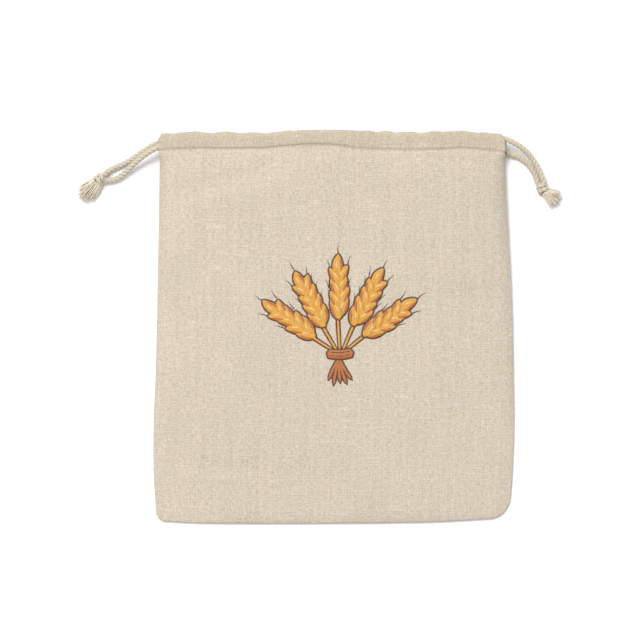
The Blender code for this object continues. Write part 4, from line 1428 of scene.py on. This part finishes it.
class BREADBAG_OT_free_cords(bpy.types.Operator):
    """Lay the four free ends of the drawstrings and tie their knots"""

    bl_idname = "bread_bag.add_free_cords"
    bl_label = "Free cord ends and knots"

    def execute(self, context):
        cord = context.scene.bread_bag_cord
        cotton = twisted_cotton()
        # Its dark colour is painted shade where the threads' fibres lie low.
        frayed = shared_material(
            "frayed cotton threads", spun_cotton, linear("#E9DFCC"), linear("#A3967B"), 0.6, 1.0)
        for side, sizes in KNOTS.items():
            x, y, z, wrap_heading, tuft_heading, *tuft_sizes = sizes
            centre = Vector((x, y, z))
            wraps = bmesh.new()
            knot_wraps(wraps, centre, math.radians(wrap_heading))
            knot = finish_mesh(side + "_knot_wraps", wraps, cotton)
            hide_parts(side + "_knot")
            threads = bmesh.new()
            frayed_tuft(threads, centre, math.radians(tuft_heading), *tuft_sizes)
            tuft = finish_mesh(side + "_frayed_tuft", threads, frayed)
        for name, node, side, front, lane, route in FREE_ENDS:
            inward = END_OVERLAP if side == "left" else -END_OVERLAP
            start_x = (RUN_LEFT_END if side == "left" else RUN_RIGHT_END) + inward
            path = smooth_route((tuple(lane_point(start_x, front, lane)), *route), END_RING_SPACING)
            piece = twisted_cord(name, path, cord.radius / MM, cotton)
            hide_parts(node)
        return {"FINISHED"}


class BREADBAG_OT_casing_cords(bpy.types.Operator):
    """Draw the two cords through the casings"""

    bl_idname = "bread_bag.add_casing_cords"
    bl_label = "Cords inside the casings"

    def execute(self, context):
        for name, node, start_x, turn_x, bow, front_lane, back_lane in CASING_RUNS:
            path = casing_route(start_x, turn_x, bow, front_lane, back_lane)
            piece = twisted_cord(name, path, RUN_RADIUS, twisted_cotton())
            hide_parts(node)
        return {"FINISHED"}


class BREADBAG_OT_cloth(bpy.types.Operator):
    """Lay the back and the front cloth, each with its hem turned in as a casing"""

    bl_idname = "bread_bag.add_cloth"
    bl_label = "Front and back cloth"

    def execute(self, context):
        linen = coarse_linen()
        for name, node, points, faces_up, rests_on in (
            ("back_cloth", "back_panel", back_points(), False, ()),
            ("front_cloth", "front_panel", front_points(), True, ("back_cloth",)),
        ):
            piece = cloth_sheet(name, points, faces_up, linen)
            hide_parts(node)
            flat_size(points)
        return {"FINISHED"}


class BREADBAG_OT_threads(bpy.types.Operator):
    """Sew the casings and raise the slubs of the weave"""

    bl_idname = "bread_bag.add_threads"
    bl_label = "Stitches and slubs"

    def execute(self, context):
        # The dark colours are painted shade where the fibres lie low.
        sewing = shared_material(
            "cotton sewing thread", spun_cotton, linear("#CDC1AE"), linear("#A3957C"), 0.4, 2.0)
        slub = shared_material("thick linen thread", spun_cotton, linear("#CDC1AF"), linear("#B2A48D"), 0.5, 1.0)
        for side, front in (("back", False), ("front", True)):
            stitches = casing_stitches(side + "_casing_stitches", side + "_cloth", front, sewing)
            slubs = linen_slubs(side + "_slubs", side + "_cloth", front, slub)
        return {"FINISHED"}


class BREADBAG_OT_print(bpy.types.Operator):
    """Print a plain wheat sheaf on the front"""

    bl_idname = "bread_bag.add_print"
    bl_label = "Printed wheat sheaf"

    def execute(self, context):
        inks = context.scene.bread_bag_print
        surface = read_surface(bpy.data.objects["front_cloth"])
        layers = {}
        order = []
        for ink, path, width, widen in sheaf_strokes(inks.line_width / MM):
            kind = "outline" if ink == "outline_top" else ink
            if kind not in layers:
                layers[kind] = bmesh.new()
            order.append(ink)
            level = INK_LEVELS[kind] + (0.1 if ink == "outline_top" else 0.0) + 0.0006 * len(order)
            ink_stroke(layers[kind], surface, path, width, level, widen)
        colours = {
            "outline": inks.outline_colour, "grain": inks.grain_colour,
            "shade": inks.shade_colour, "light": inks.light_colour,
        }
        for kind, shape in layers.items():
            piece = finish_mesh("print_" + kind, shape, printed_ink("printed ink " + kind, colours[kind]))
            solidify = piece.modifiers.new("ink thickness", "SOLIDIFY")
            solidify.thickness = INK_THICKNESS * MM
            solidify.offset = -1.0
        bpy.data.meshes.remove(surface[1])
        return {"FINISHED"}


class BREADBAG_PT_sidebar(bpy.types.Panel):
    """Steps that build the bread bag's looks"""

    bl_idname = "BREADBAG_PT_sidebar"
    bl_label = "Linen bread bag"
    bl_space_type = "VIEW_3D"
    bl_region_type = "UI"
    bl_category = "Bread bag"

    def draw(self, context):
        for operator in OPERATORS:
            self.layout.operator(operator.bl_idname)


OPERATORS = (
    BREADBAG_OT_stage, BREADBAG_OT_free_cords, BREADBAG_OT_casing_cords, BREADBAG_OT_cloth,
    BREADBAG_OT_threads, BREADBAG_OT_print,
)
PROPERTY_GROUPS = {
    "bread_bag_cloth": BreadBagCloth,
    "bread_bag_cord": BreadBagCord,
    "bread_bag_print": BreadBagPrint,
    "bread_bag_stage": BreadBagStage,
}


def register():
    for group in PROPERTY_GROUPS.values():
        bpy.utils.register_class(group)
    for name, group in PROPERTY_GROUPS.items():
        setattr(bpy.types.Scene, name, PointerProperty(type=group))
    for shown in (*OPERATORS, BREADBAG_PT_sidebar):
        bpy.utils.register_class(shown)


def unregister():
    for shown in reversed((*OPERATORS, BREADBAG_PT_sidebar)):
        bpy.utils.unregister_class(shown)
    for name, group in PROPERTY_GROUPS.items():
        delattr(bpy.types.Scene, name)
        bpy.utils.unregister_class(group)


def main():
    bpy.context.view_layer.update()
    register()
    bpy.ops.bread_bag.set_stage()
    bpy.ops.bread_bag.add_free_cords()
    bpy.ops.bread_bag.add_casing_cords()
    bpy.ops.bread_bag.add_cloth()
    bpy.ops.bread_bag.add_threads()
    bpy.ops.bread_bag.add_print()


if __name__ == "__main__":
    main()
